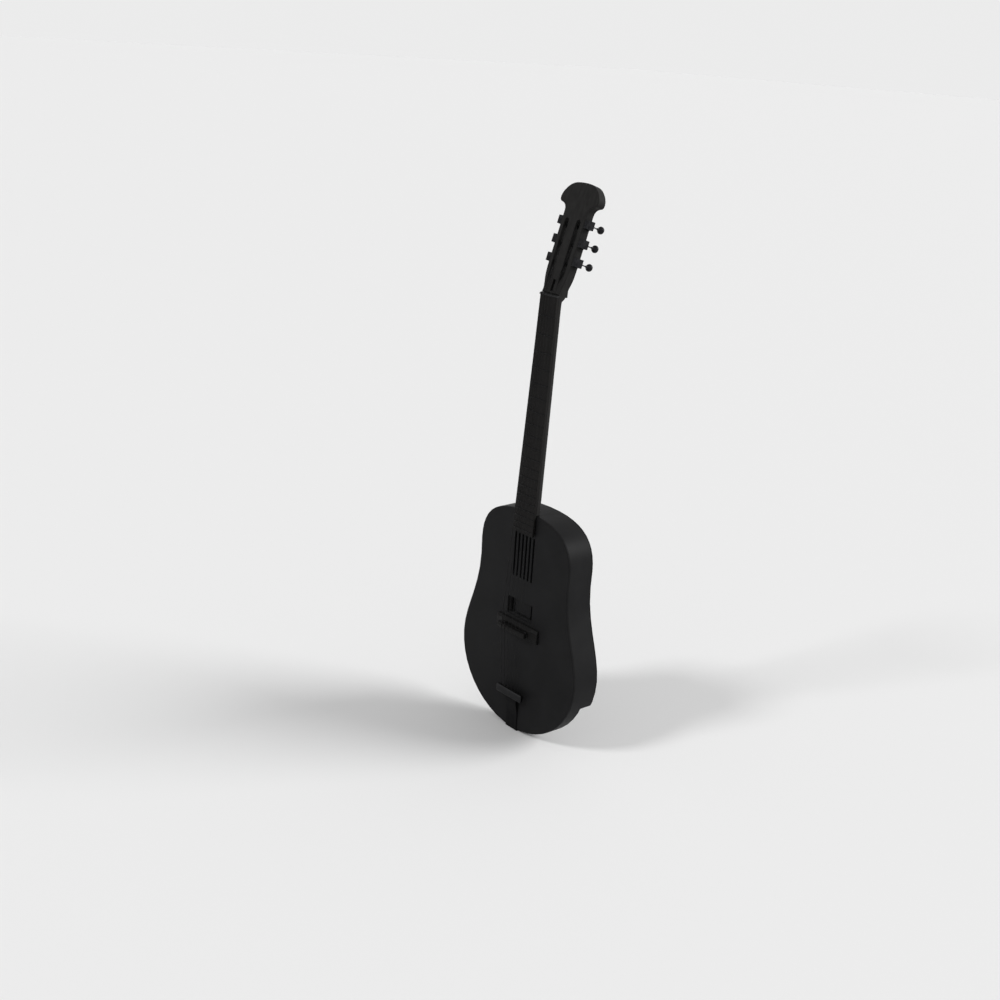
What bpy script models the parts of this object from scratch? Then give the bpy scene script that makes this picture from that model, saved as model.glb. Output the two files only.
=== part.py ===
"""Semi-hollow electric guitar with a slotted, crowned headstock, modelled upright.

The body frame has x across the guitar, y from the face towards the back and z up along the strings. The face
of the soundboard lies at y = 0 and the tail of the body at z = 0 until the last step stands the whole guitar
on its lowest point.
"""

from math import acos, atan2, cos, hypot, pi, radians, sin, sqrt, tan

import bmesh
import bpy
import numpy as np
from mathutils import Matrix, Vector
from mathutils.geometry import interpolate_bezier

MM = 0.001

# Scale and playing layout
SCALE_LENGTH = 628 * MM
FRET_COUNT = 20
STRING_COUNT = 6
NUT_SPACING = 7.1 * MM
SADDLE_SPACING = 10.0 * MM
STRING_DIAMETERS = (0.30 * MM, 0.40 * MM, 0.50 * MM, 0.80 * MM, 1.05 * MM, 1.25 * MM)

# Body
BODY_LENGTH = 439 * MM
LOWER_BOUT = 320 * MM
WAIST = 244 * MM
UPPER_BOUT = 246 * MM
LOWER_BOUT_HEIGHT = 145 * MM
WAIST_HEIGHT = 320 * MM
UPPER_BOUT_HEIGHT = 352 * MM
OUTLINE_STEPS = (12, 8, 3, 12)
BODY_DEPTH = 60 * MM
TAIL_DEPTH = 33 * MM
LEDGE_HEIGHT = 94 * MM
PLATE = 3 * MM
WALL = 3 * MM
EDGE_RADIUS = 2 * MM
BLOCK_WIDTH = 90 * MM
CENTRE_BLOCK_TOP = 292 * MM
NECK_BLOCK_WIDTH = 80 * MM
NECK_BLOCK_BOTTOM = 402 * MM
BUTTON_SCREW_RADIUS = 2 * MM
BUTTON_SCREW_LENGTH = 15 * MM

# Sound slots and pickup well
SLOT_COUNT = 6
SLOT_PITCH = 10 * MM
SLOT_WIDTH = 4.6 * MM
SLOT_BOTTOM = 307 * MM
SLOT_TOP = 394 * MM
WELL_CENTRE = 246 * MM
WELL_DEPTH = 25 * MM
WELL_BESIDE = 12.5 * MM
WELL_ABOVE = 3.25 * MM

# Neck and fingerboard
NECK_ANGLE = radians(2.8)
NUT_TO_BODY = 397 * MM
BOARD_LIFT = 0.8 * MM
BOARD_LENGTH = 437 * MM
BOARD_THICKNESS = 5.5 * MM
BOARD_WIDTH_NUT = 43.8 * MM
BOARD_WIDTH_END = 54.6 * MM
BOARD_RADIUS = 400 * MM
FRET_HEIGHT = 1.0 * MM
FRET_WIDTH = 2.2 * MM
NECK_DEPTH_NUT = 15 * MM
NECK_DEPTH_BODY = 19 * MM
NECK_SHOULDER = 1.5 * MM
NUT_THICKNESS = 5 * MM
NUT_OVERHANG = 1.1 * MM
TENON_WIDTH = 38 * MM
TENON_DEPTH = 14 * MM
TENON_SHORT = 5 * MM
ROD_RADIUS = 2.5 * MM
ROD_DEPTH = 6.5 * MM
ROD_SHORT = 48 * MM
ROD_END = 8 * MM
ROD_NUT_LENGTH = 12 * MM

# Headstock
HEAD_ANGLE = radians(15.0)
HEAD_THICKNESS = 18 * MM
HEAD_EDGE = 1 * MM
HEAD_WIDTH = 57.5 * MM
HEAD_FACE = 4.0 * MM
HEAD_LENGTH = 198 * MM
HEEL_THICKNESS = 20 * MM
CROWN_WIDTH = 96 * MM
CROWN_HEIGHT = 168 * MM
HEAD_SLOT_CENTRE = 14.7 * MM
HEAD_SLOT_WIDTH = 10.6 * MM
HEAD_SLOT_BOTTOM = 33 * MM
HEAD_SLOT_TOP = 134 * MM

# Tuners
TUNER_FIRST = 56 * MM
TUNER_PITCH = 33.5 * MM
ROLLER_DEPTH = 9 * MM
ROLLER_RADIUS = 3 * MM
ROLLER_IN_WEB = 6.5 * MM
GEAR_TEETH = 14
GEAR_MODULE = 0.5 * MM
GEAR_WIDTH = 3 * MM
WORM_PITCH_RADIUS = 1.8 * MM
WORM_TURNS = 4.5
WORM_OUT = 4.8 * MM
FRAME_OUT = 9 * MM
FRAME_PLATE = 1.0 * MM
LUG = 1.4 * MM
ROLLER_NECK = 2.2 * MM
FRAME_FRONT = 8.4 * MM
FRAME_BACK = 8.4 * MM
FRAME_BOTTOM = 1.7 * MM
FRAME_HEIGHT = 15 * MM
BUTTON_BACK = 30.5 * MM
BUTTON_SEAT = 4 * MM
BUTTON_RADIUS = 6.9 * MM
SHAFT_RADIUS = 1.1 * MM

# Bridge, tailpiece and pickup
BRIDGE_WIDTH = 114 * MM
BRIDGE_FOOT = 26 * MM
BRIDGE_BASE_HEIGHT = 9 * MM
BRIDGE_WAIST = 16 * MM
SADDLE_WIDTH = 76 * MM
SADDLE_THICKNESS = 10 * MM
POST_SPACING = 62 * MM
POST_RADIUS = 2 * MM
WHEEL_RADIUS = 6 * MM
WHEEL_THICKNESS = 1.4 * MM
WHEEL_LIFT = 1.8 * MM
POST_FOOT = 1.9 * MM
STRING_LIFT_NUT = 1.5 * MM
STRING_LIFT_SADDLE = 4.5 * MM
TAIL_BAR_WIDTH = 70 * MM
TAIL_BAR_HEIGHT = 15 * MM
TAIL_BAR_THICKNESS = 7 * MM
TAIL_BAR_BOTTOM = 69 * MM
TAIL_BAR_FACE = 14.5 * MM
STRING_HOLE_RADIUS = 1 * MM
STRING_ANCHOR = 3 * MM
STRAP_WIDTH = 30 * MM
STRAP_THICKNESS = 1.5 * MM
STRAP_UNDER = 20 * MM
STRAP_BEND_LOW = 34 * MM
STRAP_BEND_HIGH = 58 * MM
PICKUP_WIDTH = 44 * MM
PICKUP_HEIGHT = 28 * MM
PICKUP_RECESS = 8 * MM
PICKUP_THICKNESS = 12 * MM
PICKUP_WALL = 0.8 * MM
PICKUP_EAR = 10 * MM
PICKUP_PLATE = 1 * MM
PICKUP_SCREW_RADIUS = 1.3 * MM
SCREW_BESIDE = 5.2 * MM

# Jack and strap buttons
JACK_ACROSS = 70 * MM
JACK_RADIUS = 4.6 * MM
JACK_BORE = 3.3 * MM
JACK_LENGTH = 30 * MM
JACK_OUT = 5 * MM
JACK_BODY_RADIUS = 7 * MM
JACK_NUT_RADIUS = 7.2 * MM
JACK_NUT_THICKNESS = 2.5 * MM
STRAP_BUTTON_RADIUS = 7 * MM
STRAP_BUTTON_HEIGHT = 13 * MM
STRAP_BUTTON_UP = 423 * MM

# Clearances
GAP = 0.3 * MM
RUNNING = 0.2 * MM

PLATE_INSIDE = PLATE + GAP
BACK_INSIDE = BODY_DEPTH - PLATE - GAP
TAIL_INSIDE = TAIL_DEPTH - PLATE - GAP
LEDGE_BACK_DEPTH = (TAIL_DEPTH + BODY_DEPTH - PLATE) / 2
BOARD_PROUD = BOARD_THICKNESS + BOARD_LIFT
TENON_END = BODY_LENGTH + NUT_TO_BODY - BOARD_LENGTH + TENON_SHORT
PICKUP_SCREWS = PICKUP_WIDTH + 2 * SCREW_BESIDE
WELL_WIDTH = PICKUP_WIDTH + 2 * WELL_BESIDE
WELL_HEIGHT = PICKUP_HEIGHT + 2 * WELL_ABOVE


def clear_scene():
    for old in list(bpy.data.objects):
        bpy.data.objects.remove(old, do_unlink=True)


def paint(name, colour, roughness, metallic=0.0):
    material = bpy.data.materials.new(name)
    material.use_nodes = True
    shader = material.node_tree.nodes["Principled BSDF"]
    shader.inputs["Base Color"].default_value = (*colour, 1)
    shader.inputs["Roughness"].default_value = roughness
    shader.inputs["Metallic"].default_value = metallic
    return material


def add_empty(name, matrix):
    empty = bpy.data.objects.new(name, None)
    bpy.context.scene.collection.objects.link(empty)
    empty.matrix_world = matrix
    return empty


def add_object(name, mesh, material=None, frame=None, at=(0, 0, 0)):
    """Links one object, with its origin at a point of its parent frame."""
    made = bpy.data.objects.new(name, mesh)
    bpy.context.scene.collection.objects.link(made)
    made.parent = frame
    made.location = at
    if material and not mesh.materials:
        mesh.materials.append(material)
    return made


def smooth(mesh, angle=30):
    mesh.shade_smooth()
    mesh.set_sharp_from_angle(angle=radians(angle))


def loft(name, loops):
    """A closed mesh through loops of equal count, capped at both ends."""
    shape = bmesh.new()
    rings = [[shape.verts.new(point) for point in loop] for loop in loops]
    for low, high in zip(rings, rings[1:]):
        for i in range(len(low)):
            j = (i + 1) % len(low)
            shape.faces.new((low[i], low[j], high[j], high[i]))
    shape.faces.new(rings[0])
    shape.faces.new(rings[-1])
    bmesh.ops.recalc_face_normals(shape, faces=shape.faces)
    mesh = bpy.data.meshes.new(name)
    shape.to_mesh(mesh)
    shape.free()
    smooth(mesh)
    return mesh


def slab(name, outline, y_levels):
    """An outline in x and z, carried through levels of (inset, y)."""
    return loft(name, [[(x, y, z) for x, z in inset(outline, edge)] for edge, y in y_levels])


def box(name, x_span, y_span, z_span):
    (left, right), (low, high) = x_span, z_span
    corners = [(left, low), (right, low), (right, high), (left, high)]
    return loft(name, [[(x, y, z) for x, z in corners] for y in y_span])


def turned(name, profile, sides, axis="z"):
    """A shape of revolution from (radius, height) pairs along one axis."""
    place = {
        "x": lambda r, h, a: (h, r * cos(a), r * sin(a)),
        "y": lambda r, h, a: (r * sin(a), h, r * cos(a)),
        "z": lambda r, h, a: (r * cos(a), r * sin(a), h),
    }[axis]
    angles = [2 * pi * (i + 0.5) / sides for i in range(sides)]
    return loft(name, [[place(r, h, a) for a in angles] for r, h in profile])


def rod(name, radius, start, end, sides, axis="z"):
    """A plain round bar along one axis; most of them are cutters."""
    return turned(name, [(radius, start), (radius, end)], sides, axis)


def baked(name, thing):
    """The mesh of an object with its modifiers, for copies to share."""
    graph = bpy.context.evaluated_depsgraph_get()
    mesh = bpy.data.meshes.new_from_object(thing.evaluated_get(graph))
    mesh.name = name
    bpy.data.objects.remove(thing, do_unlink=True)
    smooth(mesh)
    return mesh


def combine(target, mesh, operation, frame=None, at=(0, 0, 0)):
    """Cuts a hidden tool shape from the target, or joins it on."""
    tool = add_object(target.name + "_tool", mesh, frame=frame, at=at)
    tool.hide_render = True
    tool.display_type = "WIRE"
    change = target.modifiers.new(operation.lower(), "BOOLEAN")
    change.operation = operation
    change.object = tool
    change.solver = "EXACT"


def cut(target, mesh, frame=None, at=(0, 0, 0)):
    combine(target, mesh, "DIFFERENCE", frame, at)


def join(target, mesh, frame=None, at=(0, 0, 0)):
    combine(target, mesh, "UNION", frame, at)


def inset(outline, distance):
    """A closed outline, counterclockwise in x and z, moved inwards."""
    if distance == 0:
        return outline
    moved = []
    for i, (x, z) in enumerate(outline):
        before = Vector(outline[i - 1])
        after = Vector(outline[(i + 1) % len(outline)])
        here = Vector((x, z))
        first = (here - before).normalized()
        second = (after - here).normalized()
        inward = Vector((-first.y - second.y, first.x + second.x)).normalized()
        stretch = 1 / max(inward.dot(Vector((-first.y, first.x))), 0.5)
        moved.append(tuple(here + inward * distance * stretch))
    return moved


def clip(outline, axis, limit, keep):
    """The part of an outline above (keep = 1) or below (keep = -1) a limit on one axis."""
    kept = []
    for i, here in enumerate(outline):
        before = outline[i - 1]
        inside = keep * (here[axis] - limit) >= 0
        if inside != (keep * (before[axis] - limit) >= 0):
            share = (limit - before[axis]) / (here[axis] - before[axis])
            kept.append(tuple(b + share * (h - b) for b, h in zip(before, here)))
        if inside:
            kept.append(here)
    return kept


def mirrored(half):
    """A closed counterclockwise outline from its right half, bottom to top."""
    left = [(-x, z) for x, z in reversed(half) if x > 1e-6]
    return half + left


def body_outline():
    """Four curves from the tail round to the top of the body."""
    lower, waist, upper = LOWER_BOUT / 2, WAIST / 2, UPPER_BOUT / 2
    round_share = 0.552
    tail_reach = lower * round_share
    tail_rise = LOWER_BOUT_HEIGHT * round_share
    waist_rise = WAIST_HEIGHT - LOWER_BOUT_HEIGHT
    bout_rise = UPPER_BOUT_HEIGHT - WAIST_HEIGHT
    top_rise = BODY_LENGTH - UPPER_BOUT_HEIGHT
    curves = (
        ((0, 0), (tail_reach, 0), (lower, LOWER_BOUT_HEIGHT - tail_rise), (lower, LOWER_BOUT_HEIGHT)),
        ((lower, LOWER_BOUT_HEIGHT), (lower, LOWER_BOUT_HEIGHT + 0.31 * waist_rise),
         (waist, WAIST_HEIGHT - 0.42 * waist_rise), (waist, WAIST_HEIGHT)),
        ((waist, WAIST_HEIGHT), (waist, WAIST_HEIGHT + bout_rise / 3),
         (upper, UPPER_BOUT_HEIGHT - bout_rise / 3), (upper, UPPER_BOUT_HEIGHT)),
        ((upper, UPPER_BOUT_HEIGHT), (upper, UPPER_BOUT_HEIGHT + 0.67 * top_rise),
         (0.73 * upper, BODY_LENGTH), (0, BODY_LENGTH)),
    )
    half = []
    for (start, handle_a, handle_b, end), count in zip(curves, OUTLINE_STEPS):
        points = interpolate_bezier(Vector(start), Vector(handle_a), Vector(handle_b), Vector(end), count)
        half += [tuple(point)[:2] for point in points[bool(half):]]
    return mirrored(half)


def rounded_rectangle(width, height, radius, centre=(0, 0), corner_steps=3):
    points = []
    for quarter in range(4):
        turn = quarter * pi / 2 - pi / 2
        cx = centre[0] + (width / 2 - radius) * (1 if quarter in (0, 1) else -1)
        cz = centre[1] + (height / 2 - radius) * (1 if quarter in (1, 2) else -1)
        for step in range(corner_steps + 1):
            angle = turn + step / corner_steps * pi / 2
            points.append((cx + radius * cos(angle), cz + radius * sin(angle)))
    return points


def crown(x):
    """How far the arched board and the strings fall back at x."""
    return BOARD_RADIUS - sqrt(BOARD_RADIUS**2 - x**2)


def frames():
    """The neck's frame at the nut end of the board's top face, and the head's at its own face behind the nut."""
    reach = Vector((0, sin(NECK_ANGLE), cos(NECK_ANGLE))) * NUT_TO_BODY
    joint = Vector((0, -BOARD_PROUD, BODY_LENGTH))
    neck = Matrix.Translation(joint + reach) @ Matrix.Rotation(-NECK_ANGLE, 4, "X")
    lift = Matrix.Translation((0, HEAD_FACE, NUT_THICKNESS))
    head = neck @ lift @ Matrix.Rotation(-HEAD_ANGLE, 4, "X")
    return neck, head


def rounded_levels(depth, radius, outwards):
    """Levels of a plate whose outer edge is rounded; outwards is -1 in front and 1 behind."""
    diagonal = radius * (1 - sin(pi / 4))
    levels = [(0, depth - outwards * PLATE), (0, depth - outwards * radius),
              (diagonal, depth - outwards * diagonal), (radius, depth)]
    return levels if outwards > 0 else levels[::-1]


def soundboard(black, outline):
    """The top, with six sound slots, the pickup well's mouth and the notch for the neck's tenon."""
    top = add_object("soundboard", slab("soundboard", outline, rounded_levels(0, EDGE_RADIUS, -1)), black)
    slot_height = SLOT_TOP - SLOT_BOTTOM
    for i in range(SLOT_COUNT):
        across = (i - (SLOT_COUNT - 1) / 2) * SLOT_PITCH
        middle = (across, SLOT_BOTTOM + slot_height / 2)
        hole = rounded_rectangle(SLOT_WIDTH, slot_height, SLOT_WIDTH / 2 - GAP, middle, 2)
        cut(top, slab("slot_cutter", hole, [(0, -PLATE), (0, 2 * PLATE)]))
    cut(top, well_shape(-PLATE, 2 * PLATE))
    cut(top, tenon_pocket(TENON_END - 2 * GAP))


def well_shape(front, back):
    outline = rounded_rectangle(WELL_WIDTH, WELL_HEIGHT, EDGE_RADIUS, (0, WELL_CENTRE), 2)
    return slab("well_cutter", outline, [(0, front), (0, back)])


def tenon_pocket(low):
    """The room for the tenon in face, rim and neck block, from a height up to the body's edge."""
    half = TENON_WIDTH / 2 + GAP
    deep = GAP + TENON_DEPTH - BOARD_LIFT + GAP
    return box("tenon_pocket", (-half, half), (-PLATE, deep), (low, BODY_LENGTH + WALL))


def rim(black, outline):
    """The bent side, deep above the ledge and shallow round the tail."""
    side = add_object("rim", slab("rim", outline, [(0, PLATE_INSIDE), (0, BACK_INSIDE)]), black)
    cut(side, slab("rim_inside", inset(outline, WALL), [(0, 0), (0, BODY_DEPTH)]))
    reach = LOWER_BOUT
    cut(side, box("step_cutter", (-reach, reach), (TAIL_INSIDE, BODY_DEPTH), (-reach, LEDGE_HEIGHT)))
    cut(side, tenon_pocket(NECK_BLOCK_BOTTOM))


def backs(black, outline):
    """The main back, the shallower tail back and the ledge board between them."""
    upper = clip(outline, 1, LEDGE_HEIGHT, 1)
    back = add_object("upper_back", slab("upper_back", upper, rounded_levels(BODY_DEPTH, EDGE_RADIUS, 1)), black)
    hole = BUTTON_SCREW_RADIUS + GAP
    screw = rod("screw_hole", hole, BODY_DEPTH - 2 * PLATE, BODY_DEPTH + PLATE, 12, "y")
    cut(back, screw, at=(0, 0, STRAP_BUTTON_UP))

    lower = clip(outline, 1, LEDGE_HEIGHT - GAP, -1)
    add_object("tail_back", slab("tail_back", lower, rounded_levels(TAIL_DEPTH, EDGE_RADIUS / 2, 1)), black)

    band = clip(clip(inset(outline, WALL + GAP), 1, LEDGE_HEIGHT, 1), 1, LEDGE_HEIGHT + PLATE, -1)
    ledge = add_object("tail_ledge", slab("tail_ledge", band, [(0, TAIL_INSIDE + GAP), (0, BACK_INSIDE)]), black)
    for across, radius in ((JACK_ACROSS, JACK_RADIUS + GAP), (0, hole)):
        drill = rod("ledge_hole", radius, LEDGE_HEIGHT - PLATE, LEDGE_HEIGHT + 2 * PLATE, 16)
        cut(ledge, drill, at=(across, LEDGE_BACK_DEPTH, 0))


def blocks(wood, outline):
    """The centre block under pickup and bridge, and the blocks that hold tailpiece and neck."""
    half = BLOCK_WIDTH / 2
    depths = (PLATE_INSIDE, BACK_INSIDE)
    centre = box("centre_block", (-half, half), depths, (LEDGE_HEIGHT + PLATE_INSIDE, CENTRE_BLOCK_TOP))
    centre = add_object("centre_block", centre, wood)
    cut(centre, well_shape(0, WELL_DEPTH))
    for side in (-1, 1):
        pilot = rod("pilot", PICKUP_SCREW_RADIUS + GAP, WELL_DEPTH - PLATE, WELL_DEPTH + 4 * PLATE, 10, "y")
        cut(centre, pilot, at=(side * PICKUP_SCREWS / 2, 0, WELL_CENTRE))
    hole = BUTTON_SCREW_RADIUS + GAP
    button_end = BUTTON_SCREW_LENGTH + 5 * MM
    pilot = rod("button_pilot", hole, LEDGE_HEIGHT, LEDGE_HEIGHT + button_end, 12)
    cut(centre, pilot, at=(0, LEDGE_BACK_DEPTH, 0))

    inner = inset(outline, WALL + GAP)
    tail = clip(clip(clip(inner, 0, half, -1), 0, -half, 1), 1, LEDGE_HEIGHT - GAP, -1)
    add_object("tail_block", slab("tail_block", tail, [(0, PLATE_INSIDE), (0, TAIL_INSIDE)]), wood)

    half = NECK_BLOCK_WIDTH / 2
    top = clip(clip(clip(inner, 0, half, -1), 0, -half, 1), 1, NECK_BLOCK_BOTTOM, 1)
    block = add_object("neck_block", slab("neck_block", top, [(0, depth) for depth in depths]), wood)
    cut(block, tenon_pocket(NECK_BLOCK_BOTTOM - PLATE))
    pilot = rod("button_pilot", hole, BODY_DEPTH - button_end, BODY_DEPTH, 12, "y")
    cut(block, pilot, at=(0, 0, STRAP_BUTTON_UP))


def board_half_width(z):
    """Half the board's width at z along the neck, with the nut end at zero."""
    return BOARD_WIDTH_NUT / 2 + (BOARD_WIDTH_END - BOARD_WIDTH_NUT) / 2 * -z / BOARD_LENGTH


def neck_ring(z, width, depth, fullness=0.8):
    """A D section behind the board, flat in front; a lower fullness makes its back squarer."""
    front = BOARD_THICKNESS + GAP
    shoulder = front + NECK_SHOULDER
    steps = 12
    turns = [pi * i / steps for i in range(1, steps)]
    back = [(width * cos(turn), shoulder + (depth - NECK_SHOULDER) * sin(turn) ** fullness, z) for turn in turns]
    return [(-width, front, z), (width, front, z), (width, shoulder, z)] + back + [(-width, shoulder, z)]


def head_outline():
    """Sides that widen from the nut, a narrow throat and the round crown."""
    nut, half, crown_half = BOARD_WIDTH_NUT / 2, HEAD_WIDTH / 2, CROWN_WIDTH / 2
    throat = CROWN_HEIGHT - 22 * MM
    rise = HEAD_LENGTH - CROWN_HEIGHT
    curves = (
        ((nut, 0), (nut, 18 * MM), (half, 22 * MM), (half, 46 * MM), 6),
        ((half, throat), (half, throat + 9 * MM), (half + 7 * MM, CROWN_HEIGHT - 9 * MM),
         (crown_half - 6 * MM, CROWN_HEIGHT - 8 * MM), 6),
        ((crown_half - 3 * MM, CROWN_HEIGHT - 7 * MM), (crown_half + 2 * MM, CROWN_HEIGHT - 4 * MM),
         (crown_half + 1 * MM, CROWN_HEIGHT + 8 * MM), (0.80 * crown_half, CROWN_HEIGHT + 0.60 * rise), 6),
        ((0.76 * crown_half, CROWN_HEIGHT + 0.66 * rise), (0.58 * crown_half, CROWN_HEIGHT + 0.94 * rise),
         (0.38 * crown_half, HEAD_LENGTH), (0, HEAD_LENGTH), 6),
    )
    right = []
    for start, handle_a, handle_b, end, count in curves:
        points = interpolate_bezier(Vector(start), Vector(handle_a), Vector(handle_b), Vector(end), count)
        right += [tuple(point)[:2] for point in points]
    return mirrored(right)


def neck(wood, neck_frame, head_frame):
    """Shaft, tenon and slotted headstock, cut from one blank."""
    middle_depth = (NECK_DEPTH_BODY + NECK_DEPTH_NUT) / 2
    stations = ((-NUT_TO_BODY - PLATE, NECK_DEPTH_BODY), (-NUT_TO_BODY / 2, middle_depth), (-22 * MM, NECK_DEPTH_NUT),
                (-14 * MM, NECK_DEPTH_NUT + 0.4 * MM), (-8 * MM, NECK_DEPTH_NUT + 1.3 * MM))
    rings = [neck_ring(z, board_half_width(z), depth) for z, depth in stations]
    rings.append(neck_ring(-2 * MM, BOARD_WIDTH_NUT / 2, HEEL_THICKNESS, 0.3))
    rings.append(neck_ring(NUT_THICKNESS - GAP, BOARD_WIDTH_NUT / 2, HEEL_THICKNESS, 0.3))
    blank = add_object("neck", loft("neck", rings), wood, neck_frame)
    reach = HEAD_WIDTH
    cut(blank, box("heel_cutter", (-reach, reach), (-reach, reach), (BODY_LENGTH - reach, BODY_LENGTH + GAP)))
    edge, thick = HEAD_EDGE, HEAD_THICKNESS
    head = slab("head", head_outline(), [(edge, 0), (0, edge), (0, thick - edge), (edge, thick)])
    join(blank, head, head_frame)
    half = BOARD_WIDTH_NUT / 2 - GAP
    low, back = BOARD_THICKNESS + 2 * GAP, BOARD_THICKNESS + HEEL_THICKNESS - GAP
    sides = [(low, 0), (low, NUT_THICKNESS + 2 * MM), (back, 26 * MM), (back, 0)]
    join(blank, loft("head_root", [[(end * half, y, z) for y, z in sides] for end in (-1, 1)]), neck_frame)

    half = TENON_WIDTH / 2
    front = BOARD_THICKNESS + GAP
    span = (-BOARD_LENGTH + TENON_SHORT, -NUT_TO_BODY + 4 * MM)
    join(blank, box("tenon", (-half, half), (front, front + TENON_DEPTH), span), neck_frame)

    slot_length = HEAD_SLOT_TOP - HEAD_SLOT_BOTTOM
    hole = ROLLER_RADIUS + RUNNING
    inner = HEAD_SLOT_CENTRE - HEAD_SLOT_WIDTH / 2 - ROLLER_IN_WEB
    for side in (-1, 1):
        middle = (side * HEAD_SLOT_CENTRE, (HEAD_SLOT_BOTTOM + HEAD_SLOT_TOP) / 2)
        outline = rounded_rectangle(HEAD_SLOT_WIDTH, slot_length, HEAD_SLOT_WIDTH / 2 - GAP, middle)
        cut(blank, slab("head_slot", outline, [(0, -PLATE), (0, thick + PLATE)]), head_frame)
        cut(blank, string_ramp(side), head_frame)
        for i in range(3):
            bore = rod("roller_bore", hole, side * inner, side * HEAD_WIDTH, 16, "x")
            cut(blank, bore, head_frame, (0, ROLLER_DEPTH, TUNER_FIRST + i * TUNER_PITCH))

    reach = ROD_RADIUS + GAP
    span = (-BOARD_LENGTH + ROD_SHORT - PLATE, -GAP)
    cut(blank, box("rod_channel", (-reach, reach), (0, front + ROD_DEPTH + reach), span), neck_frame)
    cut(blank, rod("rod_bore", reach + GAP, -PLATE, 22 * MM, 16), neck_frame, (0, front + ROD_DEPTH, 0))
    cut(blank, box("rod_cavity", (-reach - GAP, reach + GAP), (-PLATE, 12 * MM), (4 * MM, 25 * MM)), head_frame)


def string_ramp(side):
    """A sloping mouth at the slot's lower end, where the outer strings dive in."""
    half = HEAD_SLOT_WIDTH / 2 - GAP
    centre = side * HEAD_SLOT_CENTRE
    mouth, foot = HEAD_SLOT_BOTTOM - 20 * MM, HEAD_SLOT_BOTTOM + HEAD_SLOT_WIDTH
    deep, over = 6 * MM, -1 * MM
    corners = [(over, mouth), (over, foot), (deep, foot), (deep, HEAD_SLOT_BOTTOM + 2 * MM), (0, mouth + 1 * MM)]
    return loft("ramp_cutter", [[(centre + end * half, y, z) for y, z in corners] for end in (-1, 1)])


def fingerboard(dark, neck_frame):
    """The arched board with its frets standing out of it."""
    columns = (-1, -0.5, 0, 0.5, 1)

    def ring(z, lift):
        half = board_half_width(z)
        top = [(half * c, crown(half * c) - lift, z) for c in columns]
        return top + [(half, BOARD_THICKNESS, z), (-half, BOARD_THICKNESS, z)]

    rings = [ring(0, 0)]
    for fret in range(1, FRET_COUNT + 1):
        place = -SCALE_LENGTH * (1 - 2 ** (-fret / 12))
        half = FRET_WIDTH / 2
        rings += [ring(place + half, 0), ring(place + 0.55 * half, FRET_HEIGHT)]
        rings += [ring(place - 0.55 * half, FRET_HEIGHT), ring(place - half, 0)]
    rings.append(ring(-BOARD_LENGTH, 0))
    add_object("fingerboard", loft("fingerboard", rings), dark, neck_frame)


def nut(bone, neck_frame):
    """A bar across the board's end, sloping down towards the head."""
    half = BOARD_WIDTH_NUT / 2 + NUT_OVERHANG
    foot = BOARD_THICKNESS
    crest = -(STRING_LIFT_NUT - RUNNING)
    back = NUT_THICKNESS - (BOARD_THICKNESS - HEAD_FACE) * tan(HEAD_ANGLE) - GAP
    stations = []
    for share in (-1, -0.5, 0, 0.5, 1):
        x = half * share
        fall = crown(x)
        stations.append([(x, foot, GAP), (x, crest + fall, GAP), (x, crest + fall, 1.4 * MM),
                         (x, 1.5 * MM + fall, back), (x, foot, back)])
    add_object("nut", loft("nut", stations), bone, neck_frame)


def truss_rod(steel, neck_frame):
    """The rod in its channel, and its adjusting nut in the head's cavity."""
    depth = BOARD_THICKNESS + GAP + ROD_DEPTH
    bar = rod("truss_rod", ROD_RADIUS, -BOARD_LENGTH + ROD_SHORT, ROD_END, 12)
    add_object("truss_rod", bar, steel, neck_frame, (0, depth, 0))
    at = (0, depth, ROD_END + GAP)
    barrel = rod("truss_rod_nut", ROD_RADIUS, 0, ROD_NUT_LENGTH, 16)
    barrel = add_object("truss_rod_nut", barrel, steel, neck_frame, at)
    cut(barrel, rod("key_socket", 1.4 * MM, ROD_NUT_LENGTH / 2, ROD_NUT_LENGTH + 2 * MM, 6), neck_frame, at)


def strap_button(name, steel, matrix):
    """A turned button with its screw, standing on the local +z side of its seat."""
    r, h = STRAP_BUTTON_RADIUS, STRAP_BUTTON_HEIGHT
    screw = BUTTON_SCREW_RADIUS
    profile = [(screw, -BUTTON_SCREW_LENGTH), (screw, GAP), (0.9 * r, GAP), (0.75 * r, 0.15 * h),
               (0.45 * r, 0.35 * h), (0.45 * r, 0.62 * h), (0.8 * r, 0.78 * h), (r, 0.86 * h),
               (0.9 * r, 0.98 * h), (0.6 * r, h)]
    thing = add_object(name, turned(name, profile, 16), steel)
    thing.matrix_world = matrix


def gear_loops():
    """Slanting teeth of a small wheel, with a gap facing the worm."""
    pitch_radius = GEAR_TEETH * GEAR_MODULE / 2
    tip, root = pitch_radius + 0.9 * GEAR_MODULE, pitch_radius - 1.2 * GEAR_MODULE
    lead = pi * GEAR_MODULE
    slant = lead / (2 * pi * WORM_PITCH_RADIUS)
    step = 2 * pi / GEAR_TEETH
    loops = []
    for end in (-1, 1):
        shift = -slant * end * GEAR_WIDTH / 2 / pitch_radius
        loop = []
        for tooth in range(GEAR_TEETH):
            middle = (tooth + 0.5) * step + shift
            for radius, share in ((root, -0.30), (tip, -0.13), (tip, 0.13), (root, 0.30)):
                angle = middle + share * step
                loop.append((WORM_OUT + end * GEAR_WIDTH / 2, radius * sin(angle), radius * cos(angle)))
        loops.append(loop)
    return loops


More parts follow.
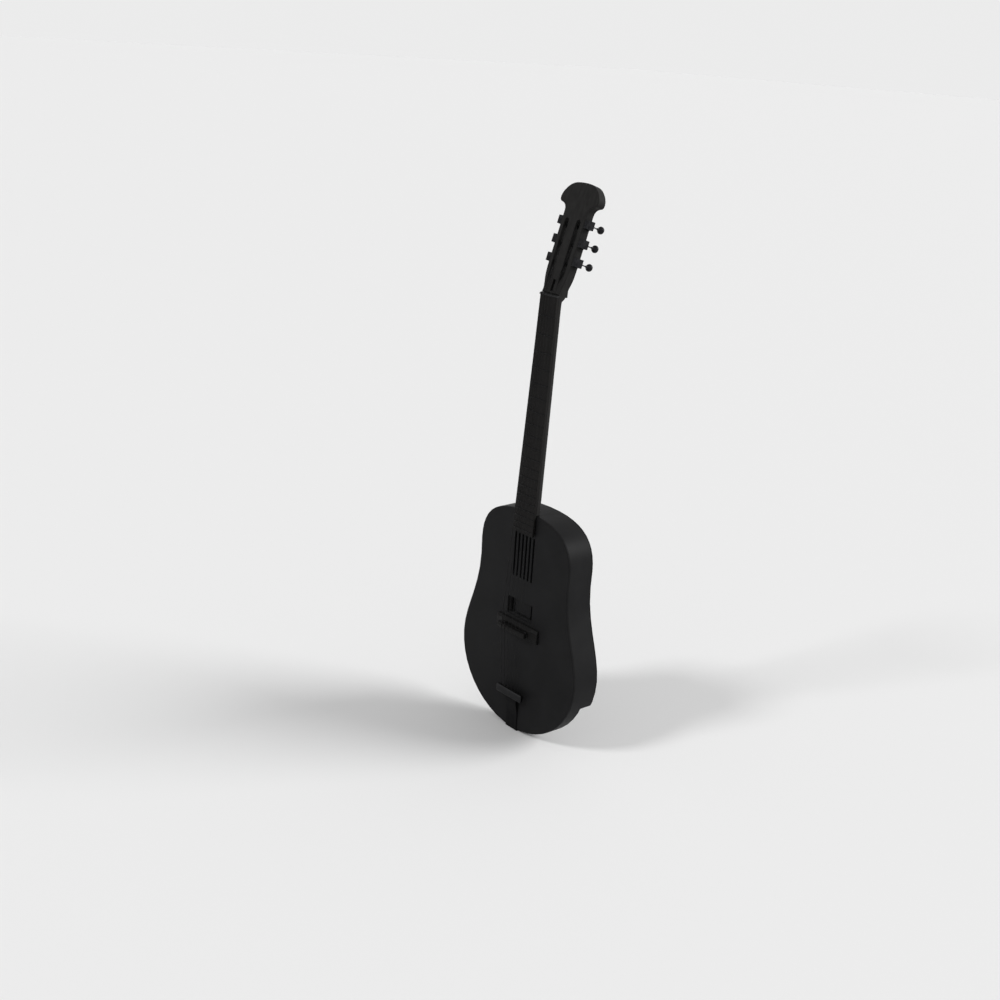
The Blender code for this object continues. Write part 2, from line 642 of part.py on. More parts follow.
def roller_mesh():
    """The string roller with its worm wheel and screw, along x from the web out to the screw head."""
    inner = HEAD_SLOT_CENTRE - HEAD_SLOT_WIDTH / 2 - ROLLER_IN_WEB + GAP - HEAD_WIDTH / 2
    inside, outside = WORM_OUT - GEAR_WIDTH / 2, WORM_OUT + GEAR_WIDTH / 2
    hub = ROLLER_NECK + 0.8 * MM
    profile = [(ROLLER_RADIUS, inner), (ROLLER_RADIUS, 0), (ROLLER_NECK, 0), (ROLLER_NECK, inside + GAP),
               (hub, inside + GAP), (hub, outside + 0.4 * MM), (ROLLER_NECK, outside + 1 * MM)]
    core = add_object("roller_core", turned("roller_core", profile, 16, "x"))
    join(core, loft("gear", gear_loops()))
    return baked("roller", core)


def worm_mesh():
    """A shaft along y with a one-start right-hand thread round its middle."""
    lead = pi * GEAR_MODULE
    root, tip = WORM_PITCH_RADIUS - 1.15 * GEAR_MODULE, WORM_PITCH_RADIUS + 0.9 * GEAR_MODULE
    front = -FRAME_FRONT - 0.6 * MM
    shaft = add_object("worm_shaft", rod("worm_shaft", SHAFT_RADIUS, front, BUTTON_BACK - BUTTON_SEAT, 10, "y"))
    steps_per_turn = 8
    steps = int(WORM_TURNS * steps_per_turn)
    buried = root - 0.35 * MM
    section = ((buried, -0.30), (tip, -0.10), (tip, 0.10), (buried, 0.30))
    loops = []
    for i in range(steps + 1):
        turn = 2 * pi * (i / steps_per_turn - WORM_TURNS / 2) + pi
        middle = lead * (i / steps_per_turn - WORM_TURNS / 2)
        loops.append([(r * sin(turn), middle + share * lead, r * cos(turn)) for r, share in section])
    join(shaft, loft("thread", loops))
    return baked("worm", shaft)


def frame_mesh():
    """A plate against the head's side, with a cage of two lugs and a roof that carries the worm."""
    distance = GEAR_TEETH * GEAR_MODULE / 2 + WORM_PITCH_RADIUS
    plate_out = GAP + FRAME_PLATE
    low, high = -FRAME_BOTTOM, FRAME_HEIGHT - FRAME_BOTTOM
    plate = add_object("frame_case", box("case", (GAP, FRAME_OUT), (-FRAME_FRONT, FRAME_BACK), (low, high)))
    window = (-FRAME_FRONT + LUG, FRAME_BACK - LUG)
    cut(plate, box("case_inside", (plate_out, FRAME_OUT - LUG), window, (low - LUG, high + LUG)))
    cut(plate, rod("roller_hole", ROLLER_NECK + RUNNING, -plate_out, 2 * plate_out, 12, "x"))
    shaft = rod("shaft_hole", SHAFT_RADIUS + RUNNING, -2 * FRAME_BACK, 2 * FRAME_BACK, 12, "y")
    cut(plate, shaft, at=(WORM_OUT, 0, distance))
    return baked("frame", plate)


def button_mesh():
    """A domed button with a waisted stem, along y from the stem's end."""
    r = BUTTON_RADIUS
    start = BUTTON_BACK - 10 * MM
    steps = ((2 * MM, 0), (1.9 * MM, 4), (0.62 * r, 5), (0.95 * r, 7), (r, 9.5), (0.9 * r, 12), (0.6 * r, 14),
             (0.25 * r, 14.8))
    profile = [(radius, start + up * MM) for radius, up in steps]
    stem = add_object("button_turned", turned("button_turned", profile, 14, "y"))
    cut(stem, rod("button_bore", SHAFT_RADIUS + RUNNING / 2, 0, BUTTON_BACK - BUTTON_SEAT + GAP, 12, "y"))
    return baked("button", stem)


def tuners(black_metal, steel, head_matrix):
    """Three tuners a side: frame, worm with its button, and roller with its wheel."""
    meshes = {"frame": frame_mesh(), "worm": worm_mesh(), "button": button_mesh(), "roller": roller_mesh()}
    distance = GEAR_TEETH * GEAR_MODULE / 2 + WORM_PITCH_RADIUS
    for string in range(1, STRING_COUNT + 1):
        side = 1 if string <= 3 else -1
        row = string - 1 if side > 0 else STRING_COUNT - string
        place = Matrix.Translation((side * HEAD_WIDTH / 2, ROLLER_DEPTH, TUNER_FIRST + row * TUNER_PITCH))
        mirror = Matrix.Diagonal((side, 1, 1, 1))
        mount = add_empty(f"tuner_{string}_mount", head_matrix @ place @ mirror)
        for kind, mesh in meshes.items():
            material = black_metal if kind in ("frame", "button") else steel
            at = (WORM_OUT, 0, distance) if kind in ("worm", "button") else (0, 0, 0)
            add_object(f"tuner_{string}_{kind}", mesh, material, mount, at)


def saddle_line():
    """Where the strings bear on the saddle, as y at the middle and z, in the body frame."""
    neck_matrix, _ = frames()
    bearing = neck_matrix @ Vector((0, -STRING_LIFT_SADDLE, -SCALE_LENGTH))
    return bearing.y, bearing.z


def bridge(black, steel):
    """A footed base, two posts with thumbwheels and the saddle bar that rests on them."""
    crest, line = saddle_line()
    half = BRIDGE_WIDTH / 2
    foot, waist = BRIDGE_FOOT / 2, BRIDGE_WAIST / 2
    arm = ((1, 0.5), (0.97, 0.6), (0.76, 0.7), (0.66, 1))
    stations = [(-share, rise) for share, rise in arm] + list(arm[::-1])
    loops = []
    for share, rise in stations:
        x, low, high = share * half, -GAP - 0.3 * BRIDGE_BASE_HEIGHT, -GAP - rise * BRIDGE_BASE_HEIGHT
        loops.append([(x, -GAP, line - foot), (x, -GAP, line + foot), (x, low, line + foot),
                      (x, high, line + waist), (x, high, line - waist), (x, low, line - foot)])
    base = add_object("bridge_base", loft("bridge_base", loops), black)

    wheel_front = GAP + BRIDGE_BASE_HEIGHT + WHEEL_LIFT + WHEEL_THICKNESS
    saddle_back = -wheel_front - GAP
    half = SADDLE_WIDTH / 2
    edge, ridge = 1.6 * MM, 0.5 * MM
    loops = []
    for share in (-1, -0.9, -0.45, 0, 0.45, 0.9, 1):
        x = half * share
        at_end = abs(share) == 1
        depth = SADDLE_THICKNESS / 2 * (0.8 if at_end else 1)
        top = crest + RUNNING + crown(x) + (edge if at_end else 0)
        loops.append([(x, saddle_back, line - depth), (x, saddle_back, line + depth), (x, top + edge, line + depth),
                      (x, top, line + ridge), (x, top, line - ridge), (x, top + edge, line - depth)])
    saddle = add_object("bridge_saddle", loft("bridge_saddle", loops), black)

    post_top = -wheel_front - 2 * WHEEL_THICKNESS
    wheel_back = -wheel_front + WHEEL_THICKNESS
    r = POST_RADIUS
    for name, side in (("left", -1), ("right", 1)):
        at = (side * POST_SPACING / 2, 0, line)
        cut(base, rod("post_bore", r + GAP, -BRIDGE_BASE_HEIGHT - PLATE, 0, 16, "y"), at=at)
        cut(saddle, rod("post_seat", r + GAP, post_top - GAP, 0, 16, "y"), at=at)
        profile = [(0.6 * r, post_top), (r, post_top + 0.4 * r), (r, -wheel_front), (WHEEL_RADIUS, -wheel_front),
                   (WHEEL_RADIUS, wheel_back), (r, wheel_back), (r, -POST_FOOT)]
        add_object(f"bridge_post_{name}", turned("post", profile, 20, "y"), steel, at=at)


def tailpiece(steel, black_metal):
    """A strap folded over the tail, and the bar that it holds above the face."""
    t = STRAP_THICKNESS
    face, miter = -GAP, 0.4 * STRAP_THICKNESS
    low, high = STRAP_BEND_LOW, STRAP_BEND_HIGH
    lifted = -TAIL_BAR_FACE + TAIL_BAR_THICKNESS + GAP
    top = TAIL_BAR_BOTTOM + TAIL_BAR_HEIGHT - 2 * MM
    back_line = [(STRAP_UNDER, face), (1 * MM, face), (face, 1 * MM), (face, low),
                 (lifted + t, high), (lifted + t, top)]
    front_line = [(lifted, top), (lifted, high - miter), (face - t, low - miter), (face - t, miter),
                  (miter, face - t), (STRAP_UNDER, face - t)]
    half = STRAP_WIDTH / 2
    strap = loft("bracket", [[(x, y, z) for y, z in back_line + front_line] for x in (-half, half)])
    add_object("tailpiece_bracket", strap, black_metal)

    half, r = TAIL_BAR_WIDTH / 2, 2 * MM
    section = rounded_rectangle(TAIL_BAR_THICKNESS, TAIL_BAR_HEIGHT, r, corner_steps=2)
    anchor = string_anchor()
    middle = TAIL_BAR_BOTTOM + TAIL_BAR_HEIGHT / 2
    loops = []
    for x, shrink in ((-half, 0.75), (-half + r, 1), (half - r, 1), (half, 0.75)):
        loops.append([(x, anchor.y + y * shrink, middle + z * shrink) for y, z in section])
    bar = add_object("tailpiece_bar", loft("tailpiece_bar", loops), steel)
    crest, line = saddle_line()
    lean = Matrix.Rotation(atan2(anchor.y - crest, line - anchor.z), 4, "X")
    string_frame = add_empty("string_frame", Matrix.Translation(anchor) @ lean)
    for string in range(1, STRING_COUNT + 1):
        hole = rod("string_hole", STRING_HOLE_RADIUS, -TAIL_BAR_HEIGHT, 2 * TAIL_BAR_HEIGHT, 8)
        cut(bar, hole, string_frame, (string_offset(string) * SADDLE_SPACING, 0, 0))


def string_anchor():
    """Where the middle of the row of strings starts, inside the tailpiece bar."""
    return Vector((0, -TAIL_BAR_FACE + TAIL_BAR_THICKNESS / 2, TAIL_BAR_BOTTOM + STRING_ANCHOR))


def string_offset(string):
    """Places from the middle, positive to the right, where the thinnest string runs."""
    return (STRING_COUNT + 1) / 2 - string


def string_path(string, neck_matrix, head_matrix):
    """The points of one string: tailpiece bar, saddle, nut, then round its roller."""
    radius = STRING_DIAMETERS[string - 1] / 2
    offset = string_offset(string)
    side = 1 if offset > 0 else -1
    row = string - 1 if side > 0 else STRING_COUNT - string
    across_saddle, across_nut = offset * SADDLE_SPACING, offset * NUT_SPACING
    crest, line = saddle_line()
    tail = string_anchor() + Vector((across_saddle, 0, 0))
    saddle = Vector((across_saddle, crest + crown(across_saddle) - radius, line))
    at_nut = neck_matrix @ Vector((across_nut, -STRING_LIFT_NUT + crown(across_nut) - radius, 0.8 * MM))

    wrap = ROLLER_RADIUS + RUNNING + radius
    start_x = side * (HEAD_SLOT_CENTRE + (4.2 * MM if row == 2 else 2.2 * MM))
    centre_y, centre_z = ROLLER_DEPTH, TUNER_FIRST + row * TUNER_PITCH
    nut_in_head = head_matrix.inverted() @ at_nut
    dy, dz = centre_y - nut_in_head.y, centre_z - nut_in_head.z
    distance = hypot(dy, dz)
    first = atan2(-dz, -dy) - acos(wrap / distance)
    turns, per_turn = 2.5, 10
    pitch = 2 * radius + 0.5 * MM
    winding = []
    for i in range(int(turns * per_turn) + 1):
        angle = first - 2 * pi * i / per_turn
        x = start_x - side * pitch * i / per_turn
        winding.append(head_matrix @ Vector((x, centre_y + wrap * cos(angle), centre_z + wrap * sin(angle))))
    return [tail, saddle, at_nut] + winding, pitch - 2 * radius


def strings(steel, neck_matrix, head_matrix):
    for string in range(1, STRING_COUNT + 1):
        points, least = string_path(string, neck_matrix, head_matrix)
        print(f"string {string}: least gap between its turns {least / MM:.2f} mm")
        curve = bpy.data.curves.new(f"string_{string}", "CURVE")
        curve.dimensions = "3D"
        curve.bevel_depth = STRING_DIAMETERS[string - 1] / 2
        curve.bevel_resolution = 1
        curve.use_fill_caps = True
        spline = curve.splines.new("POLY")
        spline.points.add(len(points) - 1)
        spline.points.foreach_set("co", np.array([(*point, 1) for point in points], np.float32).ravel())
        add_object(f"string_{string}", curve, steel)


def pickup(cover_black, coil, steel, foam):
    """A covered pickup in its well: bracket with two ears, bobbin, screws and the foam under it."""
    front, rear = PICKUP_RECESS, PICKUP_RECESS + PICKUP_THICKNESS
    middle = (0, WELL_CENTRE)
    outer = rounded_rectangle(PICKUP_WIDTH, PICKUP_HEIGHT, 2.5 * MM, middle, 3)
    levels = [(0.8 * MM, front), (0, front + 0.8 * MM), (0, rear)]
    cover = add_object("pickup_cover", slab("pickup_cover", outer, levels), cover_black)
    cut(cover, slab("cover_inside", inset(outer, PICKUP_WALL), [(0, front + PICKUP_WALL), (0, rear + PLATE)]))
    inner = inset(outer, PICKUP_WALL + GAP)
    add_object("pickup_bobbin", slab("pickup_bobbin", inner, [(0, front + PICKUP_WALL + GAP), (0, rear)]), coil)

    leg, ear = PICKUP_WIDTH / 2 + GAP, WELL_WIDTH / 2 - 2 * MM
    t = PICKUP_PLATE
    floor = rear + GAP
    right = [(leg + t, floor + t), (leg + t, PICKUP_EAR + t), (ear, PICKUP_EAR + t), (ear, PICKUP_EAR),
             (leg, PICKUP_EAR), (leg, floor)]
    section = right + [(-x, y) for x, y in reversed(right)]
    half = PICKUP_HEIGHT / 2 - t
    loops = [[(x, y, WELL_CENTRE + end * half) for x, y in section] for end in (-1, 1)]
    bracket = add_object("pickup_baseplate", loft("pickup_baseplate", loops), steel)
    shank, head, under = PICKUP_SCREW_RADIUS, 2.4 * MM, PICKUP_EAR - GAP
    for name, side in (("left", -1), ("right", 1)):
        at = (side * PICKUP_SCREWS / 2, 0, WELL_CENTRE)
        cut(bracket, rod("ear_hole", shank + GAP, PICKUP_EAR - t, PICKUP_EAR + 2 * t, 12, "y"), at=at)
        profile = [(head, under - 1.3 * MM), (head, under), (shank, under), (shank, WELL_DEPTH + 3 * PLATE)]
        add_object(f"pickup_screw_{name}", turned("pickup_screw", profile, 12, "y"), steel, at=at)

    half = PICKUP_WIDTH / 2 - 2 * t
    up = PICKUP_HEIGHT / 2 - 2 * t
    depths = (floor + t + GAP, WELL_DEPTH - GAP)
    add_object("pickup_foam", box("pickup_foam", (-half, half), depths, (WELL_CENTRE - up, WELL_CENTRE + up)), foam)


def jack(steel):
    """The output socket through the ledge, with its nut outside."""
    inner = LEDGE_HEIGHT + PLATE + GAP
    outer = LEDGE_HEIGHT - JACK_OUT
    end = outer + JACK_LENGTH
    at = (JACK_ACROSS, LEDGE_BACK_DEPTH, 0)
    profile = [(JACK_RADIUS, outer), (JACK_RADIUS, inner), (JACK_BODY_RADIUS, inner), (JACK_BODY_RADIUS, end)]
    barrel = add_object("output_jack", turned("output_jack", profile, 20), steel, at=at)
    cut(barrel, rod("jack_bore", JACK_BORE, outer - PLATE, end + PLATE, 16), at=at)
    high = LEDGE_HEIGHT - GAP
    ring = add_object("jack_nut", rod("jack_nut", JACK_NUT_RADIUS, high - JACK_NUT_THICKNESS, high, 6), steel, at=at)
    cut(ring, rod("nut_bore", JACK_RADIUS + GAP, outer, LEDGE_HEIGHT + PLATE, 20), at=at)


def stand_on_tail():
    """Moves the guitar so that the middle of its box stands over the origin, with its lowest point at z = 0."""
    bpy.context.view_layer.update()
    graph = bpy.context.evaluated_depsgraph_get()
    corners = []
    for thing in bpy.context.scene.objects:
        if thing.type in ("MESH", "CURVE") and not thing.hide_render:
            solid = thing.evaluated_get(graph)
            corners += [solid.matrix_world @ vert.co for vert in solid.to_mesh().vertices]
            solid.to_mesh_clear()
    low = Vector([min(corner[i] for corner in corners) for i in range(3)])
    high = Vector([max(corner[i] for corner in corners) for i in range(3)])
    shift = Vector((-(low.x + high.x) / 2, -(low.y + high.y) / 2, -low.z))
    for thing in bpy.context.scene.objects:
        if thing.parent is None:
            thing.matrix_world = Matrix.Translation(shift) @ thing.matrix_world
    print("body frame moved by, mm:", [round(value / MM, 3) for value in shift])


def build():
    clear_scene()
    black = paint("black_lacquer", (0.012, 0.012, 0.013), 0.45)
    neck_wood = paint("black_stained_neck", (0.014, 0.013, 0.013), 0.5)
    board_wood = paint("dark_fingerboard", (0.008, 0.007, 0.007), 0.6)
    inner_wood = paint("plain_block_wood", (0.30, 0.20, 0.12), 0.8)
    nut_black = paint("black_nut", (0.015, 0.015, 0.016), 0.4)
    black_metal = paint("black_metal", (0.02, 0.02, 0.022), 0.35, 1.0)
    dark_steel = paint("dark_steel", (0.06, 0.06, 0.065), 0.3, 1.0)
    cover_black = paint("pickup_black", (0.015, 0.015, 0.016), 0.35)
    coil = paint("bobbin_black", (0.01, 0.01, 0.01), 0.7)
    foam = paint("grey_foam", (0.05, 0.05, 0.055), 0.95)

    neck_matrix, head_matrix = frames()
    neck_frame = add_empty("neck_frame", neck_matrix)
    head_frame = add_empty("head_frame", head_matrix)
    outline = body_outline()

    soundboard(black, outline)
    rim(black, outline)
    backs(black, outline)
    blocks(inner_wood, outline)
    neck(neck_wood, neck_frame, head_frame)
    fingerboard(board_wood, neck_frame)
    nut(nut_black, neck_frame)
    truss_rod(dark_steel, neck_frame)
    seat = Matrix.Translation((0, LEDGE_BACK_DEPTH, LEDGE_HEIGHT)) @ Matrix.Rotation(pi, 4, "X")
    strap_button("strap_button_tail", black_metal, seat)
    seat = Matrix.Translation((0, BODY_DEPTH, STRAP_BUTTON_UP)) @ Matrix.Rotation(-pi / 2, 4, "X")
    strap_button("strap_button_neck", black_metal, seat)
    tuners(black_metal, dark_steel, head_matrix)
    bridge(black, dark_steel)
    tailpiece(dark_steel, black_metal)
    strings(dark_steel, neck_matrix, head_matrix)
    pickup(cover_black, coil, dark_steel, foam)
    jack(dark_steel)
    stand_on_tail()


build()
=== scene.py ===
from math import acos, asin, atan2, cos, hypot, pi, radians, sin

import bpy
from mathutils import Matrix, Vector


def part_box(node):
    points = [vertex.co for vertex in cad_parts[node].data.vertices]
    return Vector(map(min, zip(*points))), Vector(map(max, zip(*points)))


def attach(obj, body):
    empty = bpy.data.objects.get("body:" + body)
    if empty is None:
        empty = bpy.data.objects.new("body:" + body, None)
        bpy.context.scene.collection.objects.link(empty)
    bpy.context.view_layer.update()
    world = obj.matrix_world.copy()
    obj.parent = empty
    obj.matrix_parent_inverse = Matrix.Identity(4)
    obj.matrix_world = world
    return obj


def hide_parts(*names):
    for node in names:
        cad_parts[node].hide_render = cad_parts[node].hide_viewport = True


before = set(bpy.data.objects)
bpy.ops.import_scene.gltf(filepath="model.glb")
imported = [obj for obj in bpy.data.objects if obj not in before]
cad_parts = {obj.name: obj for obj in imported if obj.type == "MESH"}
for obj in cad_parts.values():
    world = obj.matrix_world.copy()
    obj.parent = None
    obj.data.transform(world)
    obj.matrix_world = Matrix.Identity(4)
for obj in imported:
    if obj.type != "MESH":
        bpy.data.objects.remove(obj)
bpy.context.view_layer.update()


# Camera. It stands in front and to the right of the guitar, a little above its middle, and looks
# slightly down. A small roll follows the photograph, where the guitar leans back.
camera_place = Vector((1.7757, -1.65853, 1.2580))
camera_aim = Vector((-0.12570, 0.00440, 0.41961))
camera_roll = radians(-3.833)
bpy.ops.object.select_all(action="DESELECT")
bpy.ops.object.camera_add(location=camera_place)
camera = bpy.context.active_object
camera.name = "camera"
turn = (camera_aim - camera_place).to_track_quat("-Z", "Y").to_matrix()
camera.rotation_euler = (turn @ Matrix.Rotation(-camera_roll, 3, "Z")).to_euler()
camera.data.lens = 50
camera.data.sensor_width = 36
bpy.context.scene.camera = camera
bpy.context.scene.view_settings.view_transform = "Standard"


# Studio. A wide pale floor without a corner, a pale room all round and two soft lights: a strong low
# one behind on the right and a weaker one in front on the left. Each throws a long, blurred shadow.
FLOOR_SIDE = 120.0
FLOOR_COLOUR = (0.832, 0.832, 0.832, 1)
ROOM_SEEN = (0.835, 0.835, 0.835, 1)
ROOM_LIGHT = 0.41
ROOM_TILT = 0.22
BRIGHT_SIDE = (0.85, 0.53, 0)
LIGHT_DISTANCE = 3
LIGHTS = (
    ("light_behind_right", (0.636, 0.772, 0.51), 2.45, 34),
    ("light_front_left", (-0.225, -0.974, 0.90), 1.15, 12),
)

bpy.ops.object.select_all(action="DESELECT")
bpy.ops.mesh.primitive_plane_add(size=FLOOR_SIDE)
floor = bpy.context.active_object
floor.name = "studio_floor"
paper = bpy.data.materials.new("pale_paper")
paper.use_nodes = True
shader = paper.node_tree.nodes["Principled BSDF"]
shader.inputs["Base Color"].default_value = FLOOR_COLOUR
shader.inputs["Roughness"].default_value = 0.9
shader.inputs["Specular IOR Level"].default_value = 0.1
floor.data.materials.append(paper)

room = bpy.data.worlds.new("pale_room")
bpy.context.scene.world = room
room.use_nodes = True
nodes, links = room.node_tree.nodes, room.node_tree.links
nodes["Background"].inputs["Color"].default_value = (1, 1, 1, 1)
around = nodes.new("ShaderNodeTexCoord")
across = nodes.new("ShaderNodeVectorMath")
across.operation = "DOT_PRODUCT"
across.inputs[1].default_value = BRIGHT_SIDE
links.new(around.outputs["Generated"], across.inputs[0])
level = nodes.new("ShaderNodeMapRange")
level.inputs["From Min"].default_value = -1
level.inputs["To Min"].default_value = ROOM_LIGHT - ROOM_TILT
level.inputs["To Max"].default_value = ROOM_LIGHT + ROOM_TILT
links.new(across.outputs["Value"], level.inputs["Value"])
links.new(level.outputs["Result"], nodes["Background"].inputs["Strength"])
seen = nodes.new("ShaderNodeBackground")
seen.inputs["Color"].default_value = ROOM_SEEN
ray = nodes.new("ShaderNodeLightPath")
either = nodes.new("ShaderNodeMath")
mirrored = nodes.new("ShaderNodeMath")
either.operation = mirrored.operation = "MAXIMUM"
mixed = nodes.new("ShaderNodeMixShader")
links.new(ray.outputs["Is Camera Ray"], either.inputs[0])
links.new(ray.outputs["Is Transmission Ray"], either.inputs[1])
links.new(either.outputs[0], mirrored.inputs[0])
links.new(ray.outputs["Is Glossy Ray"], mirrored.inputs[1])
links.new(mirrored.outputs[0], mixed.inputs["Fac"])
links.new(nodes["Background"].outputs[0], mixed.inputs[1])
links.new(seen.outputs[0], mixed.inputs[2])
links.new(mixed.outputs[0], nodes["World Output"].inputs["Surface"])

for name, direction, strength, spread in LIGHTS:
    bpy.ops.object.light_add(type="SUN", location=Vector(direction) * LIGHT_DISTANCE)
    light = bpy.context.active_object
    light.name = name
    light.rotation_euler = Vector(direction).to_track_quat("Z", "Y").to_euler()
    light.data.energy = strength
    light.data.angle = radians(spread)


# Blocks. A solid block of plain light wood runs under the pickup and the bridge, and two smaller
# ones hold the tailpiece and the neck. They are sawn and glued in, and painted black wherever the
# pickup's well and the sound slots let them be seen. This black is also painted shade, standing in
# for the dark inside of the well and behind the slots.
MM = 0.001
WELL_HALF_WIDTH = 34.9 * MM
WELL_HALF_HEIGHT = 17.7 * MM
PICKUP_UP = 246 * MM
PAINT_AND_SHADE_ABOVE_WELL = 45 * MM
WELL_PAINT_AND_SHADE = (0.005, 0.005, 0.0055, 1)
BARE_WOOD = ((0.20, 0.12, 0.065), (0.36, 0.25, 0.15))
PATCH_DETAIL = 5
COLOUR_STOPS = (0.35, 0.68)
SHINE_STOPS = (0.3, 0.7)
GRIT_DETAIL = 3


def finish(name, colours, patch, roughness, metallic=0.0, specular=0.5, stretch=(1, 1, 1), grit=0.0004,
           depth=0.00001):
    """A finish whose colour and shine drift over patches of one size, with a fine bump of another."""
    material = bpy.data.materials.new(name)
    material.use_nodes = True
    nodes, links = material.node_tree.nodes, material.node_tree.links
    shader = nodes["Principled BSDF"]
    shader.inputs["Metallic"].default_value = metallic
    shader.inputs["Specular IOR Level"].default_value = specular
    where = nodes.new("ShaderNodeTexCoord")
    drawn_out = nodes.new("ShaderNodeMapping")
    drawn_out.inputs["Scale"].default_value = stretch
    links.new(where.outputs["Object"], drawn_out.inputs["Vector"])
    cloud = nodes.new("ShaderNodeTexNoise")
    cloud.inputs["Scale"].default_value = 1 / patch
    cloud.inputs["Detail"].default_value = PATCH_DETAIL
    links.new(drawn_out.outputs[0], cloud.inputs["Vector"])
    tint = nodes.new("ShaderNodeValToRGB")
    for stop, place, colour in zip(tint.color_ramp.elements, COLOUR_STOPS, colours):
        stop.position = place
        stop.color = (*colour, 1)
    links.new(cloud.outputs["Fac"], tint.inputs["Fac"])
    links.new(tint.outputs["Color"], shader.inputs["Base Color"])
    shine = nodes.new("ShaderNodeMapRange")
    shine.inputs["From Min"].default_value, shine.inputs["From Max"].default_value = SHINE_STOPS
    shine.inputs["To Min"].default_value, shine.inputs["To Max"].default_value = roughness
    links.new(cloud.outputs["Fac"], shine.inputs["Value"])
    links.new(shine.outputs["Result"], shader.inputs["Roughness"])
    grain = nodes.new("ShaderNodeTexNoise")
    grain.inputs["Scale"].default_value = 1 / grit
    grain.inputs["Detail"].default_value = GRIT_DETAIL
    links.new(drawn_out.outputs[0], grain.inputs["Vector"])
    bump = nodes.new("ShaderNodeBump")
    bump.inputs["Distance"].default_value = depth
    links.new(grain.outputs["Fac"], bump.inputs["Height"])
    links.new(bump.outputs["Normal"], shader.inputs["Normal"])
    return material


def repaint(node, material):
    """A CAD node that keeps its shape gets its finish."""
    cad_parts[node].data.materials.clear()
    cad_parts[node].data.materials.append(material)


block_wood_and_shade = finish("sawn_block_wood_and_painted_shade", BARE_WOOD, 0.012, (0.6, 0.85), stretch=(1, 1, 0.08), grit=0.0012,
                    depth=0.00008)
nodes, links = block_wood_and_shade.node_tree.nodes, block_wood_and_shade.node_tree.links
tail_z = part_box("soundboard")[0].z
where = nodes.new("ShaderNodeTexCoord")
from_well = nodes.new("ShaderNodeMapping")
from_well.inputs["Location"].default_value = (0, 0, -tail_z - PICKUP_UP)
links.new(where.outputs["Object"], from_well.inputs["Vector"])
distance = nodes.new("ShaderNodeVectorMath")
distance.operation = "ABSOLUTE"
links.new(from_well.outputs[0], distance.inputs[0])
apart = nodes.new("ShaderNodeSeparateXYZ")
links.new(distance.outputs["Vector"], apart.inputs[0])
inside = nodes.new("ShaderNodeMath")
inside.operation = "MULTIPLY"
for socket, (side, reach) in enumerate((("X", WELL_HALF_WIDTH), ("Z", WELL_HALF_HEIGHT))):
    near = nodes.new("ShaderNodeMath")
    near.operation = "LESS_THAN"
    near.inputs[1].default_value = reach
    links.new(apart.outputs[side], near.inputs[0])
    links.new(near.outputs[0], inside.inputs[socket])
position = nodes.new("ShaderNodeSeparateXYZ")
links.new(from_well.outputs[0], position.inputs[0])
above = nodes.new("ShaderNodeMath")
above.operation = "GREATER_THAN"
above.inputs[1].default_value = PAINT_AND_SHADE_ABOVE_WELL
links.new(position.outputs["Z"], above.inputs[0])
# Where this mask holds, the block is painted black: black paint that is also painted shade for the hollows of
# the well and the slots.
painted_shade_mask = nodes.new("ShaderNodeMath")
painted_shade_mask.operation = "MAXIMUM"
links.new(inside.outputs[0], painted_shade_mask.inputs[0])
links.new(above.outputs[0], painted_shade_mask.inputs[1])
shader = nodes["Principled BSDF"]
paint_and_shade_mix = nodes.new("ShaderNodeMix")
paint_and_shade_mix.data_type = "RGBA"
paint_and_shade_mix.inputs["B"].default_value = WELL_PAINT_AND_SHADE
links.new(painted_shade_mask.outputs[0], paint_and_shade_mix.inputs["Factor"])
links.new(shader.inputs["Base Color"].links[0].from_socket, paint_and_shade_mix.inputs["A"])
links.new(paint_and_shade_mix.outputs["Result"], shader.inputs["Base Color"])
for node in ("centre_block", "tail_block", "neck_block"):
    repaint(node, block_wood_and_shade)


# Body shell. Side, two backs and the ledge between them are thin bent and flat boards, glued edge to
# edge. The joints are sanded flush and the whole is sprayed with one satin black lacquer.
SAME_POINT = 0.00001
SAME_FLAT = radians(0.4)


def alone(piece):
    """Selects one piece and nothing else."""
    bpy.ops.object.select_all(action="DESELECT")
    bpy.context.view_layer.objects.active = piece
    piece.select_set(True)


def settled(piece):
    """Takes the place, turn and size of a piece into its mesh."""
    alone(piece)
    bpy.ops.object.transform_apply(location=True, rotation=True, scale=True)


def merged(distance=SAME_POINT):
    """Merges the doubles of the piece that is open for editing."""
    bpy.ops.mesh.select_all(action="SELECT")
    bpy.ops.mesh.remove_doubles(threshold=distance)


def twin(piece, name):
    """A second piece from the same pattern, with a mesh of its own."""
    made = piece.copy()
    made.data = piece.data.copy()
    made.name = name
    bpy.context.scene.collection.objects.link(made)
    return made


def copied(node, name):
    """A copy of a CAD node as one skin: doubles merged and flat faces joined."""
    piece = twin(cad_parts[node], name)
    piece.parent = None
    for key in list(piece.keys()):
        del piece[key]
    alone(piece)
    bpy.ops.object.mode_set(mode="EDIT")
    merged()
    bpy.ops.mesh.dissolve_limited(angle_limit=SAME_FLAT)
    bpy.ops.object.mode_set(mode="OBJECT")
    return piece


def eased(piece, width, segments=2, angle=40):
    """Rounds the sharp edges of a piece."""
    settled(piece)
    ease = piece.modifiers.new("eased_edges", "BEVEL")
    ease.width = width
    ease.segments = segments
    ease.limit_method = "ANGLE"
    ease.angle_limit = radians(angle)
    ease.use_clamp_overlap = True
    bpy.ops.object.modifier_apply(modifier=ease.name)
    return piece


def outwards(piece):
    """Turns the faces of the piece that is open for editing outwards, and ends the editing."""
    bpy.ops.mesh.select_all(action="SELECT")
    bpy.ops.mesh.normals_make_consistent(inside=False)
    bpy.ops.object.mode_set(mode="OBJECT")
    return piece


